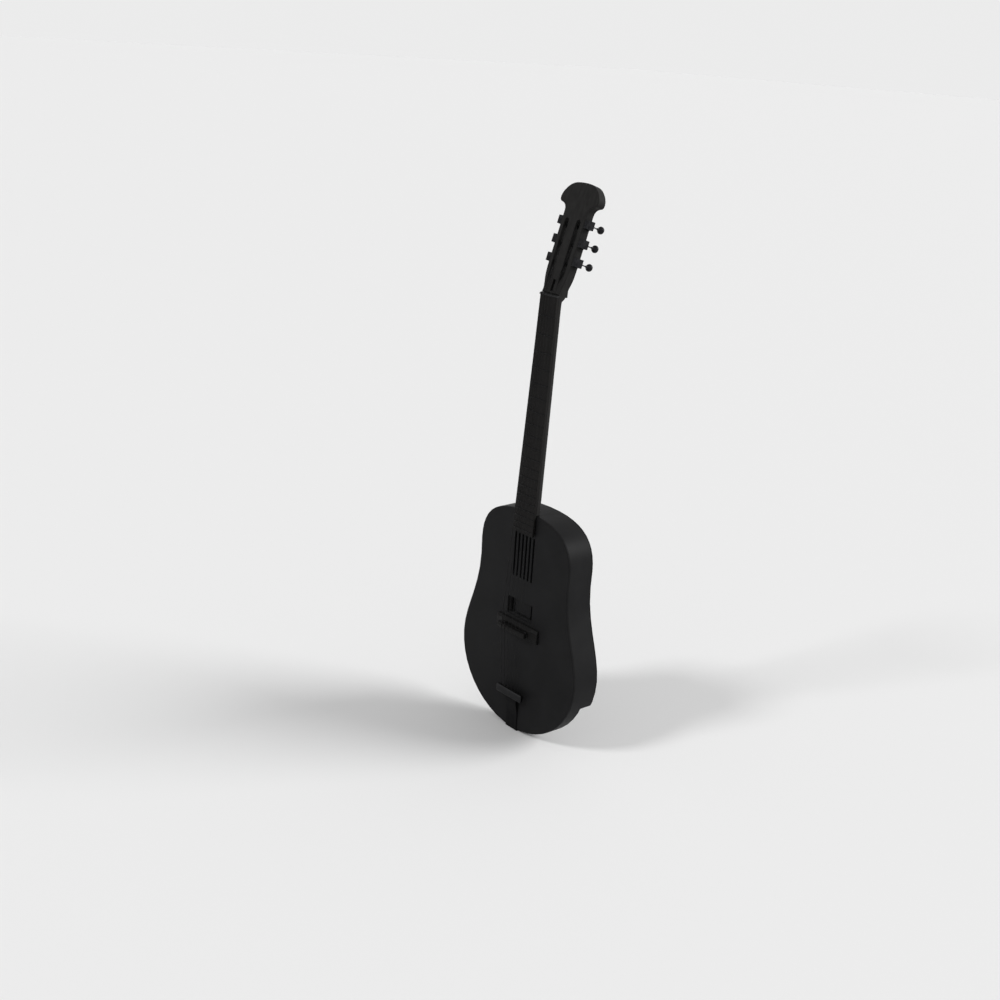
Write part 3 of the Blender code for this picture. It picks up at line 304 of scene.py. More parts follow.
def fitted(piece, stands_for, body, material, place=None, angle=35):
    """Puts a finished shape in its place, shades and paints it, and hangs it on its body."""
    settled(piece)
    if place:
        piece.matrix_world = place
        settled(piece)
        bpy.ops.object.mode_set(mode="EDIT")
        outwards(piece)
    bpy.ops.object.shade_smooth_by_angle(angle=radians(angle))
    flats = piece.modifiers.new("flat_faces_stay_flat", "WEIGHTED_NORMAL")
    flats.keep_sharp = True
    bpy.ops.object.modifier_apply(modifier=flats.name)
    piece.data.materials.clear()
    piece.data.materials.append(material)
    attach(piece, body)
    if stands_for:
        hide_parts(stands_for)
    return piece


lacquer = finish("satin_black_lacquer", ((0.0081, 0.0081, 0.0085), (0.0114, 0.0114, 0.0119)), 0.05,
                 (0.46, 0.56), specular=0.066, grit=0.0025, depth=0.000004)
for node, name in (("rim", "bent_side"), ("upper_back", "main_back"), ("tail_back", "shallow_back"),
                   ("tail_ledge", "ledge_board"), ("soundboard", "top_board")):
    fitted(eased(copied(node, name), 0.4 * MM), node, "guitar", lacquer, angle=30)


# Neck. Shaft, tenon and slotted headstock are one piece of wood, stained black and rubbed down to a
# satin finish, so that a faint grain shows along it. The head leans back where the nut stands.
NECK_ANGLE = radians(2.8)
HEAD_ANGLE = radians(15)
BODY_LENGTH = 439 * MM
NUT_TO_BODY = 397 * MM
BOARD_PROUD = 6.3 * MM
HEAD_FACE = 4 * MM
HEAD_START = 5 * MM

body_place = Matrix.Translation((0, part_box("soundboard")[0].y, tail_z))
neck_place = (body_place @ Matrix.Translation((0, -BOARD_PROUD, BODY_LENGTH))
              @ Matrix.Rotation(-NECK_ANGLE, 4, "X") @ Matrix.Translation((0, 0, NUT_TO_BODY)))
head_place = neck_place @ Matrix.Translation((0, HEAD_FACE, HEAD_START)) @ Matrix.Rotation(-HEAD_ANGLE, 4, "X")
stained = finish("black_stained_neck", ((0.0135, 0.013, 0.0128), (0.0205, 0.02, 0.0195)), 0.006, (0.5, 0.62),
                 specular=0.055, stretch=(1, 1, 0.06), grit=0.0005, depth=0.000012)
fitted(eased(copied("neck", "neck_and_head"), 0.5 * MM), "neck", "guitar", stained, angle=30)


# Truss rod. A steel rod lies in the neck's channel, and a round nut with a six-sided socket
# tightens it from the head. Both are turned from plain steel that has gone dark.
dark_steel = finish("dark_steel", ((0.016, 0.016, 0.017), (0.030, 0.030, 0.032)), 0.004, (0.30, 0.45),
                    metallic=1.0, grit=0.0003, depth=0.000004)
repaint("truss_rod", dark_steel)
rod_nut = eased(copied("truss_rod_nut", "rod_nut"), 0.2 * MM)
fitted(rod_nut, "truss_rod_nut", "truss_rod_nut", dark_steel)


# Fingerboard. A dark, oiled board, planed to a slight arch across and tapered from nut to body. The
# frets are crowned wires pressed into sawn slots, with their ends filed down at a slope.
SCALE_LENGTH = 628 * MM
FRETS = 20
BOARD_LENGTH = 437 * MM
BOARD_THICKNESS = 5.5 * MM
HALF_WIDTH_NUT = 21.9 * MM
HALF_WIDTH_END = 27.3 * MM
ARCH_RADIUS = 400 * MM
FRET_PROFILE = ((1.1, 0.6), (1.1, -0.1), (0.95, -0.5), (0.6, -0.85), (0, -1.0), (-0.6, -0.85), (-0.95, -0.5),
                (-1.1, -0.1), (-1.1, 0.6))
FRET_END_SLOPE = radians(35)
FRET_END_INSET = 0.2 * MM
ARCH_STEPS = 24


def picked(piece, points=None, edges=None, faces=None):
    """Opens a piece for editing with only the points, edges or faces selected that pass a test."""
    alone(piece)
    bpy.context.tool_settings.mesh_select_mode = (bool(points), bool(edges), bool(faces))
    bpy.ops.object.mode_set(mode="EDIT")
    bpy.ops.mesh.select_all(action="DESELECT")
    bpy.ops.object.mode_set(mode="OBJECT")
    corners = piece.data.vertices
    for corner in corners if points else ():
        corner.select = points(corner.co)
    for edge in piece.data.edges if edges else ():
        edge.select = edges(corners[edge.vertices[0]].co, corners[edge.vertices[1]].co)
    for face in piece.data.polygons if faces else ():
        face.select = faces(face.center, face.normal)
    bpy.ops.object.mode_set(mode="EDIT")


def drawn(name, points):
    """A line pulled out of one point, corner by corner, which is left open for editing."""
    bpy.ops.object.select_all(action="DESELECT")
    bpy.ops.mesh.primitive_plane_add(size=MM)
    piece = bpy.context.active_object
    piece.name = name
    bpy.context.tool_settings.mesh_select_mode = (True, False, False)
    bpy.ops.object.mode_set(mode="EDIT")
    bpy.ops.mesh.select_all(action="SELECT")
    bpy.ops.mesh.merge(type="CENTER")
    bpy.ops.transform.translate(value=points[0])
    for here, there in zip(points, points[1:]):
        step = tuple(Vector(there) - Vector(here))
        bpy.ops.mesh.extrude_region_move(TRANSFORM_OT_translate={"value": step})
    merged()
    return piece


def arched(name, outline, half):
    """A closed outline of (z, y) corners at one edge, swept across on the board's arch."""
    lean = asin(half / ARCH_RADIUS)
    fall = ARCH_RADIUS * (1 - cos(lean))
    piece = drawn(name, [(-half, y + fall, z) for z, y in outline + outline[:1]])
    bpy.ops.mesh.edge_face_add()
    bpy.ops.mesh.spin(steps=ARCH_STEPS, angle=-2 * lean, center=(0, ARCH_RADIUS, 0), axis=(0, 0, 1))
    merged()
    return outwards(piece)


def trimmed(piece, point, way):
    """Saws a piece off at a plane, on the side that the way points to."""
    picked(piece, points=lambda corner: True)
    bpy.ops.mesh.bisect(plane_co=point, plane_no=way, clear_outer=True, use_fill=True)
    return outwards(piece)


def board_half_width(z):
    """Half the board's width at a height, which is below zero from the nut on."""
    return HALF_WIDTH_NUT + (HALF_WIDTH_END - HALF_WIDTH_NUT) * -z / BOARD_LENGTH


oiled_board = finish("oiled_dark_board", ((0.0065, 0.0061, 0.0059), (0.011, 0.0103, 0.0099)), 0.004,
                     (0.48, 0.62), specular=0.085, stretch=(1, 1, 0.05), grit=0.0006, depth=0.00003)
fret_metal = finish("dark_fret_wire", ((0.011, 0.011, 0.0115), (0.018, 0.018, 0.0185)), 0.003, (0.36, 0.48),
                    metallic=1.0, grit=0.0003, depth=0.000003)
blank = [(0, 0), (-BOARD_LENGTH, 0), (-BOARD_LENGTH, BOARD_THICKNESS + MM), (0, BOARD_THICKNESS + MM)]
board = arched("arched_board", blank, HALF_WIDTH_END + MM)
trimmed(board, (0, BOARD_THICKNESS, 0), (0, 1, 0))
taper = (HALF_WIDTH_END - HALF_WIDTH_NUT) / BOARD_LENGTH
for side in (-1, 1):
    trimmed(board, (side * HALF_WIDTH_NUT, 0, 0), Vector((side, 0, taper)).normalized())
fitted(eased(board, 0.25 * MM), "fingerboard", "guitar", oiled_board, neck_place, angle=25)

wire = arched("fret_wire", [(z * MM, y * MM) for z, y in FRET_PROFILE], HALF_WIDTH_END)
for fret in range(1, FRETS + 1):
    place = -SCALE_LENGTH * (1 - 2 ** (-fret / 12))
    half = board_half_width(place)
    fall = half ** 2 / (2 * ARCH_RADIUS)
    piece = twin(wire, f"fret_{fret}")
    for side in (-1, 1):
        end = (side * (half - FRET_END_INSET), fall, 0)
        trimmed(piece, end, (side * cos(FRET_END_SLOPE), -sin(FRET_END_SLOPE), 0))
    fitted(piece, None, "guitar", fret_metal, neck_place @ Matrix.Translation((0, 0, place)))
bpy.data.objects.remove(wire)


# Nut. A black bar of hard, polished plastic glued across the end of the board. Its top follows the
# board's arch and slopes down towards the head, and six filed slots guide the strings.
STRINGS = 6
STRING_DIAMETERS = (0.30 * MM, 0.40 * MM, 0.50 * MM, 0.80 * MM, 1.05 * MM, 1.25 * MM)
NUT_SPACING = 7.1 * MM
NUT_HALF = 23 * MM
NUT_PROFILE = ((0.3, 7), (0.3, -1.72), (1.3, -1.72), (2.4, -1.1), (3.4, 0.1), (4.2, 1.5), (4.2, 7))
STRING_AT_NUT = (-1.5 * MM, 0.8 * MM)
SLOT_ROOM = 0.07 * MM
SLOT_BOARD_END = (-0.05 * MM, -3 * MM)
SLOT_HEAD_END = (1.9 * MM, 6 * MM)


def pin(start, end, radius, sides=16):
    """A round rod between two points, to bore or file with."""
    start, end = Vector(start), Vector(end)
    lean = (end - start).to_track_quat("Z", "Y").to_euler()
    bpy.ops.object.select_all(action="DESELECT")
    bpy.ops.mesh.primitive_cylinder_add(
        vertices=sides, radius=radius, depth=(end - start).length, location=(start + end) / 2, rotation=lean)
    return bpy.context.active_object


def block(middle, sides):
    """A square block, to cut with or to start a piece from."""
    bpy.ops.object.select_all(action="DESELECT")
    bpy.ops.mesh.primitive_cube_add(size=1, location=middle, scale=sides)
    made = bpy.context.active_object
    settled(made)
    return made


def carved(piece, *tools, keep="DIFFERENCE"):
    """Cuts each tool out of a piece, or keeps what both share, and takes the tool away."""
    for tool in tools:
        cut = piece.modifiers.new("cut", "BOOLEAN")
        cut.operation = keep
        cut.solver = "EXACT"
        cut.object = tool
        alone(piece)
        bpy.ops.object.modifier_apply(modifier=cut.name)
        bpy.data.objects.remove(tool)
    return piece


def string_offset(string):
    """Places from the middle, positive to the right, where the thinnest string runs."""
    return (STRINGS + 1) / 2 - string


def fall_at(x):
    """How far the board's arch lies below its middle."""
    return ARCH_RADIUS - (ARCH_RADIUS ** 2 - x ** 2) ** 0.5


def nut_point(string):
    """The middle of a string where it bends over the nut, as seen from the neck's place."""
    x = string_offset(string) * NUT_SPACING
    return Vector((x, STRING_AT_NUT[0] + fall_at(x) - STRING_DIAMETERS[string - 1] / 2, STRING_AT_NUT[1]))


polished = finish("black_nut_plastic", ((0.0085, 0.0085, 0.009), (0.0135, 0.0135, 0.014)), 0.008, (0.36, 0.48),
                  specular=0.14, grit=0.0006, depth=0.000004)
nut = arched("nut_bar", [(z * MM, y * MM) for z, y in NUT_PROFILE], NUT_HALF)
trimmed(nut, (0, BOARD_THICKNESS, 0), (0, 1, 0))
eased(nut, 0.25 * MM, angle=50)
for string in range(1, STRINGS + 1):
    bend = nut_point(string)
    board_end, head_end = [(bend.x, bend.y + rise, z) for rise, z in (SLOT_BOARD_END, SLOT_HEAD_END)]
    width = STRING_DIAMETERS[string - 1] / 2 + SLOT_ROOM
    carved(nut, pin(board_end, bend, width), pin(bend, head_end, width))
fitted(nut, "nut", "guitar", polished, neck_place)


# Tuners. Three on each side of the head: a bent steel case open at both ends, a worm on a shaft with
# a turned button behind the head, and a string roller with a slanted wheel and a hole for the string.
HEAD_HALF = 28.75 * MM
ROLLER_DEPTH = 9 * MM
FIRST_TUNER = 56 * MM
TUNER_PITCH = 33.5 * MM
CASE_MIDDLE = (4.65 * MM, 0, 5.8 * MM)
CASE_SIDES = (8.7 * MM, 16.8 * MM, 15 * MM)
CASE_WALL = 1.15 * MM
SHAFT_AT = (4.8 * MM, 5.3 * MM)
SHAFT_HOLE = 1.3 * MM
SHAFT_HOLE_END = 12 * MM
ROLLER_HOLE = 2.4 * MM
ROLLER_HOLE_ENDS = (-MM, 3 * MM)
BUTTON_PROFILE = ((1.16, 20.5), (1.75, 20.5), (2.0, 20.8), (1.85, 22.6), (1.95, 24.2), (3.4, 25.0), (5.5, 26.2),
                  (6.7, 28.0), (6.95, 30.0), (6.5, 32.2), (5.2, 34.0), (3.0, 35.05), (1.0, 35.35), (0, 35.35),
                  (0, 26.9), (1.16, 26.9))
STRING_HOLE = 0.8 * MM
STRING_HOLE_END = 9 * MM
WINDINGS = 2.5
WINDING_GAP = 0.5 * MM
FIRST_WINDINGS = (16.9 * MM, 16.9 * MM, 18.9 * MM)


def turned(name, profile, steps=32, closed=False):
    """A profile of (radius, height) corners in millimetres, spun round the z axis."""
    line = [(radius * MM, 0, height * MM) for radius, height in profile]
    piece = drawn(name, line + line[:1] if closed else line)
    bpy.ops.mesh.spin(steps=steps, angle=2 * pi, center=(0, 0, 0), axis=(0, 0, 1))
    merged()
    return outwards(piece)


def tuner_of(string):
    """The side of the head that a string's tuner is on, and its row from the nut."""
    side = 1 if string <= STRINGS / 2 else -1
    return side, string - 1 if side > 0 else STRINGS - string


def rounded(piece):
    """Smooths a turned piece once all over."""
    rounding = piece.modifiers.new("rounding", "SUBSURF")
    rounding.levels = rounding.render_levels = 1
    bpy.ops.object.modifier_apply(modifier=rounding.name)
    return piece


along_y = Matrix.Rotation(-pi / 2, 4, "X")
black_metal = finish("black_metal", ((0.012, 0.012, 0.013), (0.022, 0.022, 0.024)), 0.006, (0.32, 0.48),
                     metallic=1.0, grit=0.0004, depth=0.000004)
case = block(CASE_MIDDLE, CASE_SIDES)
picked(case, faces=lambda middle, way: abs(way.z) > 0.9)
bpy.ops.mesh.inset(thickness=CASE_WALL, use_individual=True)
bpy.ops.mesh.bridge_edge_loops()
outwards(case)
aside, up = SHAFT_AT
carved(case, pin((aside, -SHAFT_HOLE_END, up), (aside, SHAFT_HOLE_END, up), SHAFT_HOLE, 24))
carved(case, pin((ROLLER_HOLE_ENDS[0], 0, 0), (ROLLER_HOLE_ENDS[1], 0, 0), ROLLER_HOLE, 24))
eased(case, 0.45 * MM, segments=3)
knob = rounded(turned("button", BUTTON_PROFILE, closed=True))

for string in range(1, STRINGS + 1):
    side, row = tuner_of(string)
    seat = Matrix.Translation((side * HEAD_HALF, ROLLER_DEPTH, FIRST_TUNER + row * TUNER_PITCH))
    mount = head_place @ seat @ Matrix.Diagonal((side, 1, 1, 1))
    fitted(twin(case, f"tuner_case_{string}"), f"tuner_{string}_frame", "guitar",
           black_metal, mount)
    on_shaft = mount @ Matrix.Translation((aside, 0, up)) @ along_y
    fitted(twin(knob, f"tuner_knob_{string}"), f"tuner_{string}_button", f"button_{string}",
           black_metal, on_shaft, angle=50)
    worm = copied(f"tuner_{string}_worm", f"tuner_screw_{string}")
    fitted(worm, f"tuner_{string}_worm", f"button_{string}", dark_steel, angle=45)
    roller = copied(f"tuner_{string}_roller", f"string_roller_{string}")
    radius = STRING_DIAMETERS[string - 1] / 2
    last_winding = FIRST_WINDINGS[row] - HEAD_HALF - WINDINGS * (2 * radius + WINDING_GAP)
    hole = last_winding - radius - STRING_HOLE
    ends = [mount @ Vector((hole, 0, end)) for end in (-STRING_HOLE_END, STRING_HOLE_END)]
    carved(roller, pin(*ends, STRING_HOLE))
    fitted(roller, f"tuner_{string}_roller", f"roller_{string}", dark_steel, angle=40)
for pattern in (case, knob):
    bpy.data.objects.remove(pattern)


# Bridge. A carved wooden base stands on the top board with two flat arms, lacquered black. Two steel
# posts with knurled thumbwheels are screwed into it and carry the saddle, a bar with six notches.
STRINGS_ABOVE_BOARD = 4.5 * MM
BRIDGE_LINE = neck_place @ Vector((0, -STRINGS_ABOVE_BOARD, -SCALE_LENGTH))
POST_ACROSS = 31 * MM
POST_PROFILE = ((0, -15.3), (1.2, -15.3), (1.9, -14.6), (1.9, -12.5), (5.6, -12.5), (6.0, -12.2), (6.0, -11.4),
                (5.6, -11.1), (1.9, -11.1))
POST_THREAD = (1.9, -11.0, -2.4)
POST_TIP = ((1.4, -1.9), (0, -1.9))
KNURLS = 48
KNURLED_FROM = 5.9 * MM
KNURL_SHRINK = 0.955
SADDLE_HALF = 38 * MM
SADDLE_END = 37.43 * MM
SADDLE_END_SLOPE = -0.35
SADDLE_BACK = -12.8 * MM
SADDLE_PROFILE = ((-5, 12), (-5, 1.35), (-4.6, 0.95), (-0.7, -0.2), (0.7, -0.2), (4.6, 0.95), (5, 1.35),
                  (5, 12))
SADDLE_SPACING = 10 * MM
NOTCH_LENGTH = 8 * MM
POST_HOLE = 2.3 * MM
POST_HOLE_FLOOR = -15.6 * MM
STRING_AT_BAR = (-11 * MM, 72 * MM)


def threaded(radius, start, end, pitch=0.7, depth=0.16):
    """The zigzag of a screw's thread, in millimetres, between two heights."""
    turns = int(abs(end - start) / pitch)
    pitch = (end - start) / turns
    return tuple((radius - depth * (i % 2), start + pitch * i / 2) for i in range(2 * turns + 1))


def saddle_point(string):
    """The middle of a string where it lies on the saddle, as seen from the body's place."""
    x = string_offset(string) * SADDLE_SPACING
    return Vector((x, crest + fall_at(x) - STRING_DIAMETERS[string - 1] / 2, line_z))


def tail_point(string):
    """Where a string leaves the tail bar, as seen from the body's place."""
    return Vector((string_offset(string) * SADDLE_SPACING, *STRING_AT_BAR))


# Base and saddle are a darker black than the body's lacquer. This is their own black, darkened further as
# painted shade for the shadow that falls over the bridge.
bridge_black_and_shade = finish("black_bridge_wood_and_painted_shade", ((0.0058, 0.0056, 0.0056), (0.0092, 0.009, 0.0088)), 0.008,
                      (0.48, 0.6), specular=0.08, stretch=(0.08, 1, 1), grit=0.0008, depth=0.00001)
foot = eased(copied("bridge_base", "bridge_foot"), 0.7 * MM, segments=3, angle=25)
fitted(foot, "bridge_base", "guitar", bridge_black_and_shade)

post = turned("post", POST_PROFILE + threaded(*POST_THREAD) + POST_TIP, 2 * KNURLS)
step = pi / KNURLS
picked(post, points=lambda corner: hypot(corner.x, corner.y) > KNURLED_FROM
       and round(atan2(corner.y, corner.x) / step) % 2 == 1)
bpy.ops.transform.resize(value=(KNURL_SHRINK, KNURL_SHRINK, 1), center_override=(0, 0, 0))
outwards(post)
line_z = BRIDGE_LINE.z - tail_z
crest = BRIDGE_LINE.y - body_place.translation.y
for name, side in (("left", -1), ("right", 1)):
    seat = body_place @ Matrix.Translation((side * POST_ACROSS, 0, line_z)) @ along_y
    fitted(twin(post, f"{name}_post"), f"bridge_post_{name}", f"bridge_post_{name}",
           dark_steel, seat)
bpy.data.objects.remove(post)

saddle = arched("saddle_bar", [(z * MM, y * MM) for z, y in SADDLE_PROFILE], SADDLE_HALF)
saddle.matrix_world = Matrix.Translation((0, crest, line_z))
settled(saddle)
trimmed(saddle, (0, SADDLE_BACK, 0), (0, 1, 0))
for side in (-1, 1):
    trimmed(saddle, (side * SADDLE_END, crest, 0), Vector((side, SADDLE_END_SLOPE, 0)).normalized())
for side in (-1, 1):
    at = side * POST_ACROSS
    carved(saddle, pin((at, POST_HOLE_FLOOR, line_z), (at, 0, line_z), POST_HOLE, 24))
eased(saddle, 0.4 * MM, segments=3)
back_to_body = body_place.inverted()
for string in range(1, STRINGS + 1):
    bearing = saddle_point(string)
    for end in (tail_point(string), back_to_body @ neck_place @ nut_point(string)):
        notch_end = bearing + (end - bearing).normalized() * NOTCH_LENGTH
        carved(saddle, pin(bearing, notch_end, STRING_DIAMETERS[string - 1] / 2 + SLOT_ROOM))
fitted(saddle, "bridge_saddle", "saddle", bridge_black_and_shade, body_place)


# Tailpiece. A strip of black steel is folded under the tail, where two sunk screws hold it, and bent
# up off the face. It carries a rounded steel bar, in which the strings' ball ends are caught.
STRAP_WIDTH = 30 * MM
STRAP_OUTLINE = ((20, -0.3), (1, -0.3), (-0.3, 1), (-0.3, 34), (-5.7, 58), (-5.7, 82), (-7.2, 82), (-7.2, 57.4),
                 (-1.8, 33.4), (-1.8, 0.6), (0.6, -1.8), (20, -1.8))
STRAP_BENDS = (((-0.3, 34), (-1.8, 33.4), (-5.7, 58), (-7.2, 57.4)), 4 * MM, 6)
STRAP_CORNERS = (((1, -0.3), (-0.3, 1), (0.6, -1.8), (-1.8, 0.6)), 0.7 * MM, 4)
COUNTERSINK = ((0, -2.2), (3.1, -2.2), (2.7, -1.78), (1.45, -0.5), (1.45, 0.2), (0, 0.2))
SUNK_SCREW = ((0, -1.78), (2.6, -1.78), (1.3, -0.5), (1.3, 0.4), (0, 0.4))
SUNK_CROSS = (-1.8 * MM, 3.2 * MM, 0.6 * MM, 1.2 * MM)
SUNK_SCREWS_AT = ((-8 * MM, 12 * MM), (8 * MM, 12 * MM))
BAR_MIDDLE = (0, -11 * MM, 76.5 * MM)
BAR_SIDES = (70 * MM, 7 * MM, 15 * MM)
BALL_PROFILE = ((0.5, -1.5), (1.5, -1.5), (1.7, -1.3), (1.7, -0.9), (1.25, -0.5), (1.25, 0.5), (1.7, 0.9),
                (1.7, 1.3), (1.5, 1.5), (0.5, 1.5))
BALL_SEAT = 2.6 * MM
BALL_HOLE = 2.1 * MM
BALL_HOLE_FLOOR = 0.9 * MM
WIRE_HOLE = 1 * MM
BAR_HOLES_BACK = 12 * MM
BAR_HOLES_FRONT = 20 * MM


def slotted(screw, middle, length, width, depth, crossed=True):
    """Saws a slot into a screw's head at the height of its middle, and a second one across it."""
    carved(screw, block((0, 0, middle), (length, width, depth)))
    if crossed:
        carved(screw, block((0, 0, middle), (width, length, depth)))


# The strap's coat is a darker black than the other black metal. This is partly its own black coat and partly
# painted shade for the shadow that falls around the raised strap.
strap_black_and_shade = finish("black_strap_coat_and_painted_shade", ((0.0035, 0.0035, 0.0038), (0.0062, 0.0062, 0.0066)), 0.006,
                     (0.45, 0.6), specular=0.06, stretch=(1, 1, 0.1), grit=0.0006, depth=0.000008)
strap = drawn("tail_strap", [(-STRAP_WIDTH / 2, y * MM, z * MM) for y, z in STRAP_OUTLINE + STRAP_OUTLINE[:1]])
bpy.ops.mesh.edge_face_add()
bpy.ops.mesh.extrude_region_move(TRANSFORM_OT_translate={"value": (STRAP_WIDTH, 0, 0)})
outwards(strap)
for corners, width, segments in (STRAP_BENDS, STRAP_CORNERS):
    lines = [Vector((y * MM, z * MM)) for y, z in corners]
    picked(strap, edges=lambda a, b: abs(a.x - b.x) > STRAP_WIDTH / 2
           and any((a.yz - line).length < SAME_POINT for line in lines))
    bpy.ops.mesh.bevel(offset=width, segments=segments, profile=0.5)
    outwards(strap)
for x, y in SUNK_SCREWS_AT:
    sunk = turned("countersink", COUNTERSINK)
    sunk.location = (x, y, 0)
    carved(strap, sunk)
eased(strap, 0.3 * MM, angle=55)
fitted(strap, "tailpiece_bracket", "guitar", strap_black_and_shade, body_place)
for number, (x, y) in enumerate(SUNK_SCREWS_AT, 1):
    screw = turned(f"strap_screw_{number}", SUNK_SCREW)
    slotted(screw, *SUNK_CROSS)
    fitted(screw, None, "guitar", dark_steel, body_place @ Matrix.Translation((x, y, 0)))

bar_steel = finish("bar_steel", ((0.021, 0.021, 0.022), (0.028, 0.028, 0.029)), 0.02, (0.36, 0.46),
                   metallic=1.0, stretch=(0.1, 1, 1), grit=0.0003, depth=0.000004)
bar = block(BAR_MIDDLE, BAR_SIDES)
bar.name = "tail_bar"
eased(bar, 2 * MM, segments=6)
ball = turned("ball", BALL_PROFILE, 24, closed=True)
for string in range(1, STRINGS + 1):
    tail = tail_point(string)
    way = (Vector((tail.x, crest, line_z)) - tail).normalized()
    behind = tail - way * BAR_HOLES_BACK
    carved(bar, pin(behind, tail + way * BAR_HOLES_FRONT, WIRE_HOLE))
    carved(bar, pin(behind, tail - way * BALL_HOLE_FLOOR, BALL_HOLE, 24))
    seat = body_place @ Matrix.Translation(tail - way * BALL_SEAT) @ Matrix.Rotation(pi / 2, 4, "Y")
    fitted(twin(ball, f"ball_end_{string}"), None, "guitar", dark_steel, seat)
bpy.data.objects.remove(ball)
fitted(bar, "tailpiece_bar", "guitar", bar_steel, body_place)


# Strings. Steel wire runs from the tailpiece over saddle and nut and is wound two and a half times
# on its roller. The three thin ones are plain, the three thick ones are wound with fine round wire.
PLAIN_STRINGS = 3
WIRE_ROUNDNESS = 4
ROLLER_RADIUS = 3.2 * MM
POINTS_PER_TURN = 24
COIL_SCALE = 1050
COIL_RIDGE = 0.00008
INTO_BALL = 1.6 * MM

plain_wire = finish("plain_string", ((0.016, 0.016, 0.017), (0.028, 0.028, 0.029)), 0.02, (0.34, 0.46),
                    metallic=1.0, grit=0.0004, depth=0.000002)
wound_wire = finish("wound_string", ((0.014, 0.014, 0.0145), (0.025, 0.0247, 0.0245)), 0.02, (0.38, 0.5),
                    metallic=1.0, grit=0.0004, depth=0.000002)
nodes, links = wound_wire.node_tree.nodes, wound_wire.node_tree.links
shader = nodes["Principled BSDF"]
where = nodes.new("ShaderNodeTexCoord")
coils = nodes.new("ShaderNodeTexWave")
coils.bands_direction = "Z"
coils.inputs["Scale"].default_value = COIL_SCALE
links.new(where.outputs["Object"], coils.inputs["Vector"])
ridges = nodes.new("ShaderNodeBump")
ridges.inputs["Distance"].default_value = COIL_RIDGE
links.new(coils.outputs["Fac"], ridges.inputs["Height"])
links.new(shader.inputs["Normal"].links[0].from_socket, ridges.inputs["Normal"])
links.new(ridges.outputs["Normal"], shader.inputs["Normal"])

for string in range(1, STRINGS + 1):
    radius = STRING_DIAMETERS[string - 1] / 2
    side, row = tuner_of(string)
    tail, bearing, at_nut = tail_point(string), saddle_point(string), neck_place @ nut_point(string)
    in_ball = tail - (bearing - tail).normalized() * INTO_BALL
    route = [body_place @ in_ball, body_place @ bearing, at_nut]
    wrap = ROLLER_RADIUS + radius
    start = side * FIRST_WINDINGS[row]
    middle_y, middle_z = ROLLER_DEPTH, FIRST_TUNER + row * TUNER_PITCH
    from_nut = head_place.inverted() @ at_nut
    away = hypot(middle_y - from_nut.y, middle_z - from_nut.z)
    first = atan2(from_nut.z - middle_z, from_nut.y - middle_y) - acos(wrap / away)
    for i in range(int(WINDINGS * POINTS_PER_TURN) + 1):
        angle = first - 2 * pi * i / POINTS_PER_TURN
        along = start - side * (2 * radius + WINDING_GAP) * i / POINTS_PER_TURN
        route.append(head_place @ Vector((along, middle_y + wrap * cos(angle), middle_z + wrap * sin(angle))))
    wire = drawn(f"wire_{string}", route)
    bpy.ops.object.mode_set(mode="OBJECT")
    bpy.ops.object.convert(target="CURVE")
    wire = bpy.context.active_object
    wire.data.bevel_depth = radius
    wire.data.bevel_resolution = WIRE_ROUNDNESS
    wire.data.use_fill_caps = True
    bpy.ops.object.convert(target="MESH")
    wire = bpy.context.active_object
    bpy.ops.object.mode_set(mode="EDIT")
    merged(SAME_POINT / 10)
    outwards(wire)
    wire_finish = plain_wire if string <= PLAIN_STRINGS else wound_wire
    fitted(wire, f"string_{string}", "guitar", wire_finish, angle=60)


# Pickup. A closed black cover of thin plastic over a wound bobbin, on a bent steel plate with two
# ears. Two slotted screws through the ears hold it at its height, on a pad of grey foam.
PICKUP_MIDDLE = (0, 14 * MM, PICKUP_UP)
PICKUP_SIDES = (44 * MM, 12 * MM, 28 * MM)
COVER_WALL = 0.8 * MM
COVER_CORNER = 2.5 * MM
COVER_EDGE = 0.9 * MM
SCREW_ACROSS = 27.2 * MM
PICKUP_SCREW = ((0, 8.4), (1.3, 8.45), (2.0, 8.75), (2.35, 9.2), (2.4, 9.7), (1.3, 9.7))
PICKUP_SCREW_THREAD = (1.3, 9.8, 32.5)
PICKUP_SCREW_TIP = ((0.3, 34), (0, 34))
PICKUP_SCREW_SLOT = (8.5 * MM, 6 * MM, 0.6 * MM, 1.3 * MM)
FOAM_MIDDLE = (0, 23.15 * MM, PICKUP_UP)
FOAM_SIDES = (39 * MM, 2.5 * MM, 23 * MM)
FOAM_CUTS = 12
PORE_SIZE = 1.2 * MM
PORE_DEPTH = 0.35 * MM

cover_plastic = finish("black_cover_plastic", ((0.007, 0.007, 0.0075), (0.0105, 0.0105, 0.011)), 0.01,
                       (0.42, 0.54), specular=0.08, grit=0.0007, depth=0.000005)
cover = block(PICKUP_MIDDLE, PICKUP_SIDES)
cover.name = "cover"
front, rear = PICKUP_MIDDLE[1] - PICKUP_SIDES[1] / 2, PICKUP_MIDDLE[1] + PICKUP_SIDES[1] / 2
picked(cover, edges=lambda a, b: abs(a.y - b.y) > PICKUP_SIDES[1] / 2)
bpy.ops.mesh.bevel(offset=COVER_CORNER, segments=6, profile=0.5)
outwards(cover)
picked(cover, edges=lambda a, b: max(a.y, b.y) < front + SAME_POINT)
bpy.ops.mesh.bevel(offset=COVER_EDGE, segments=4, profile=0.5)
outwards(cover)
picked(cover, faces=lambda middle, way: middle.y > rear - SAME_POINT)
bpy.ops.mesh.delete(type="ONLY_FACE")
bpy.ops.object.mode_set(mode="OBJECT")
wall = cover.modifiers.new("wall", "SOLIDIFY")
wall.thickness = COVER_WALL
wall.offset = -1
bpy.ops.object.modifier_apply(modifier=wall.name)
cover.data.transform(body_place)
fitted(cover, "pickup_cover", "pickup", cover_plastic, angle=40)

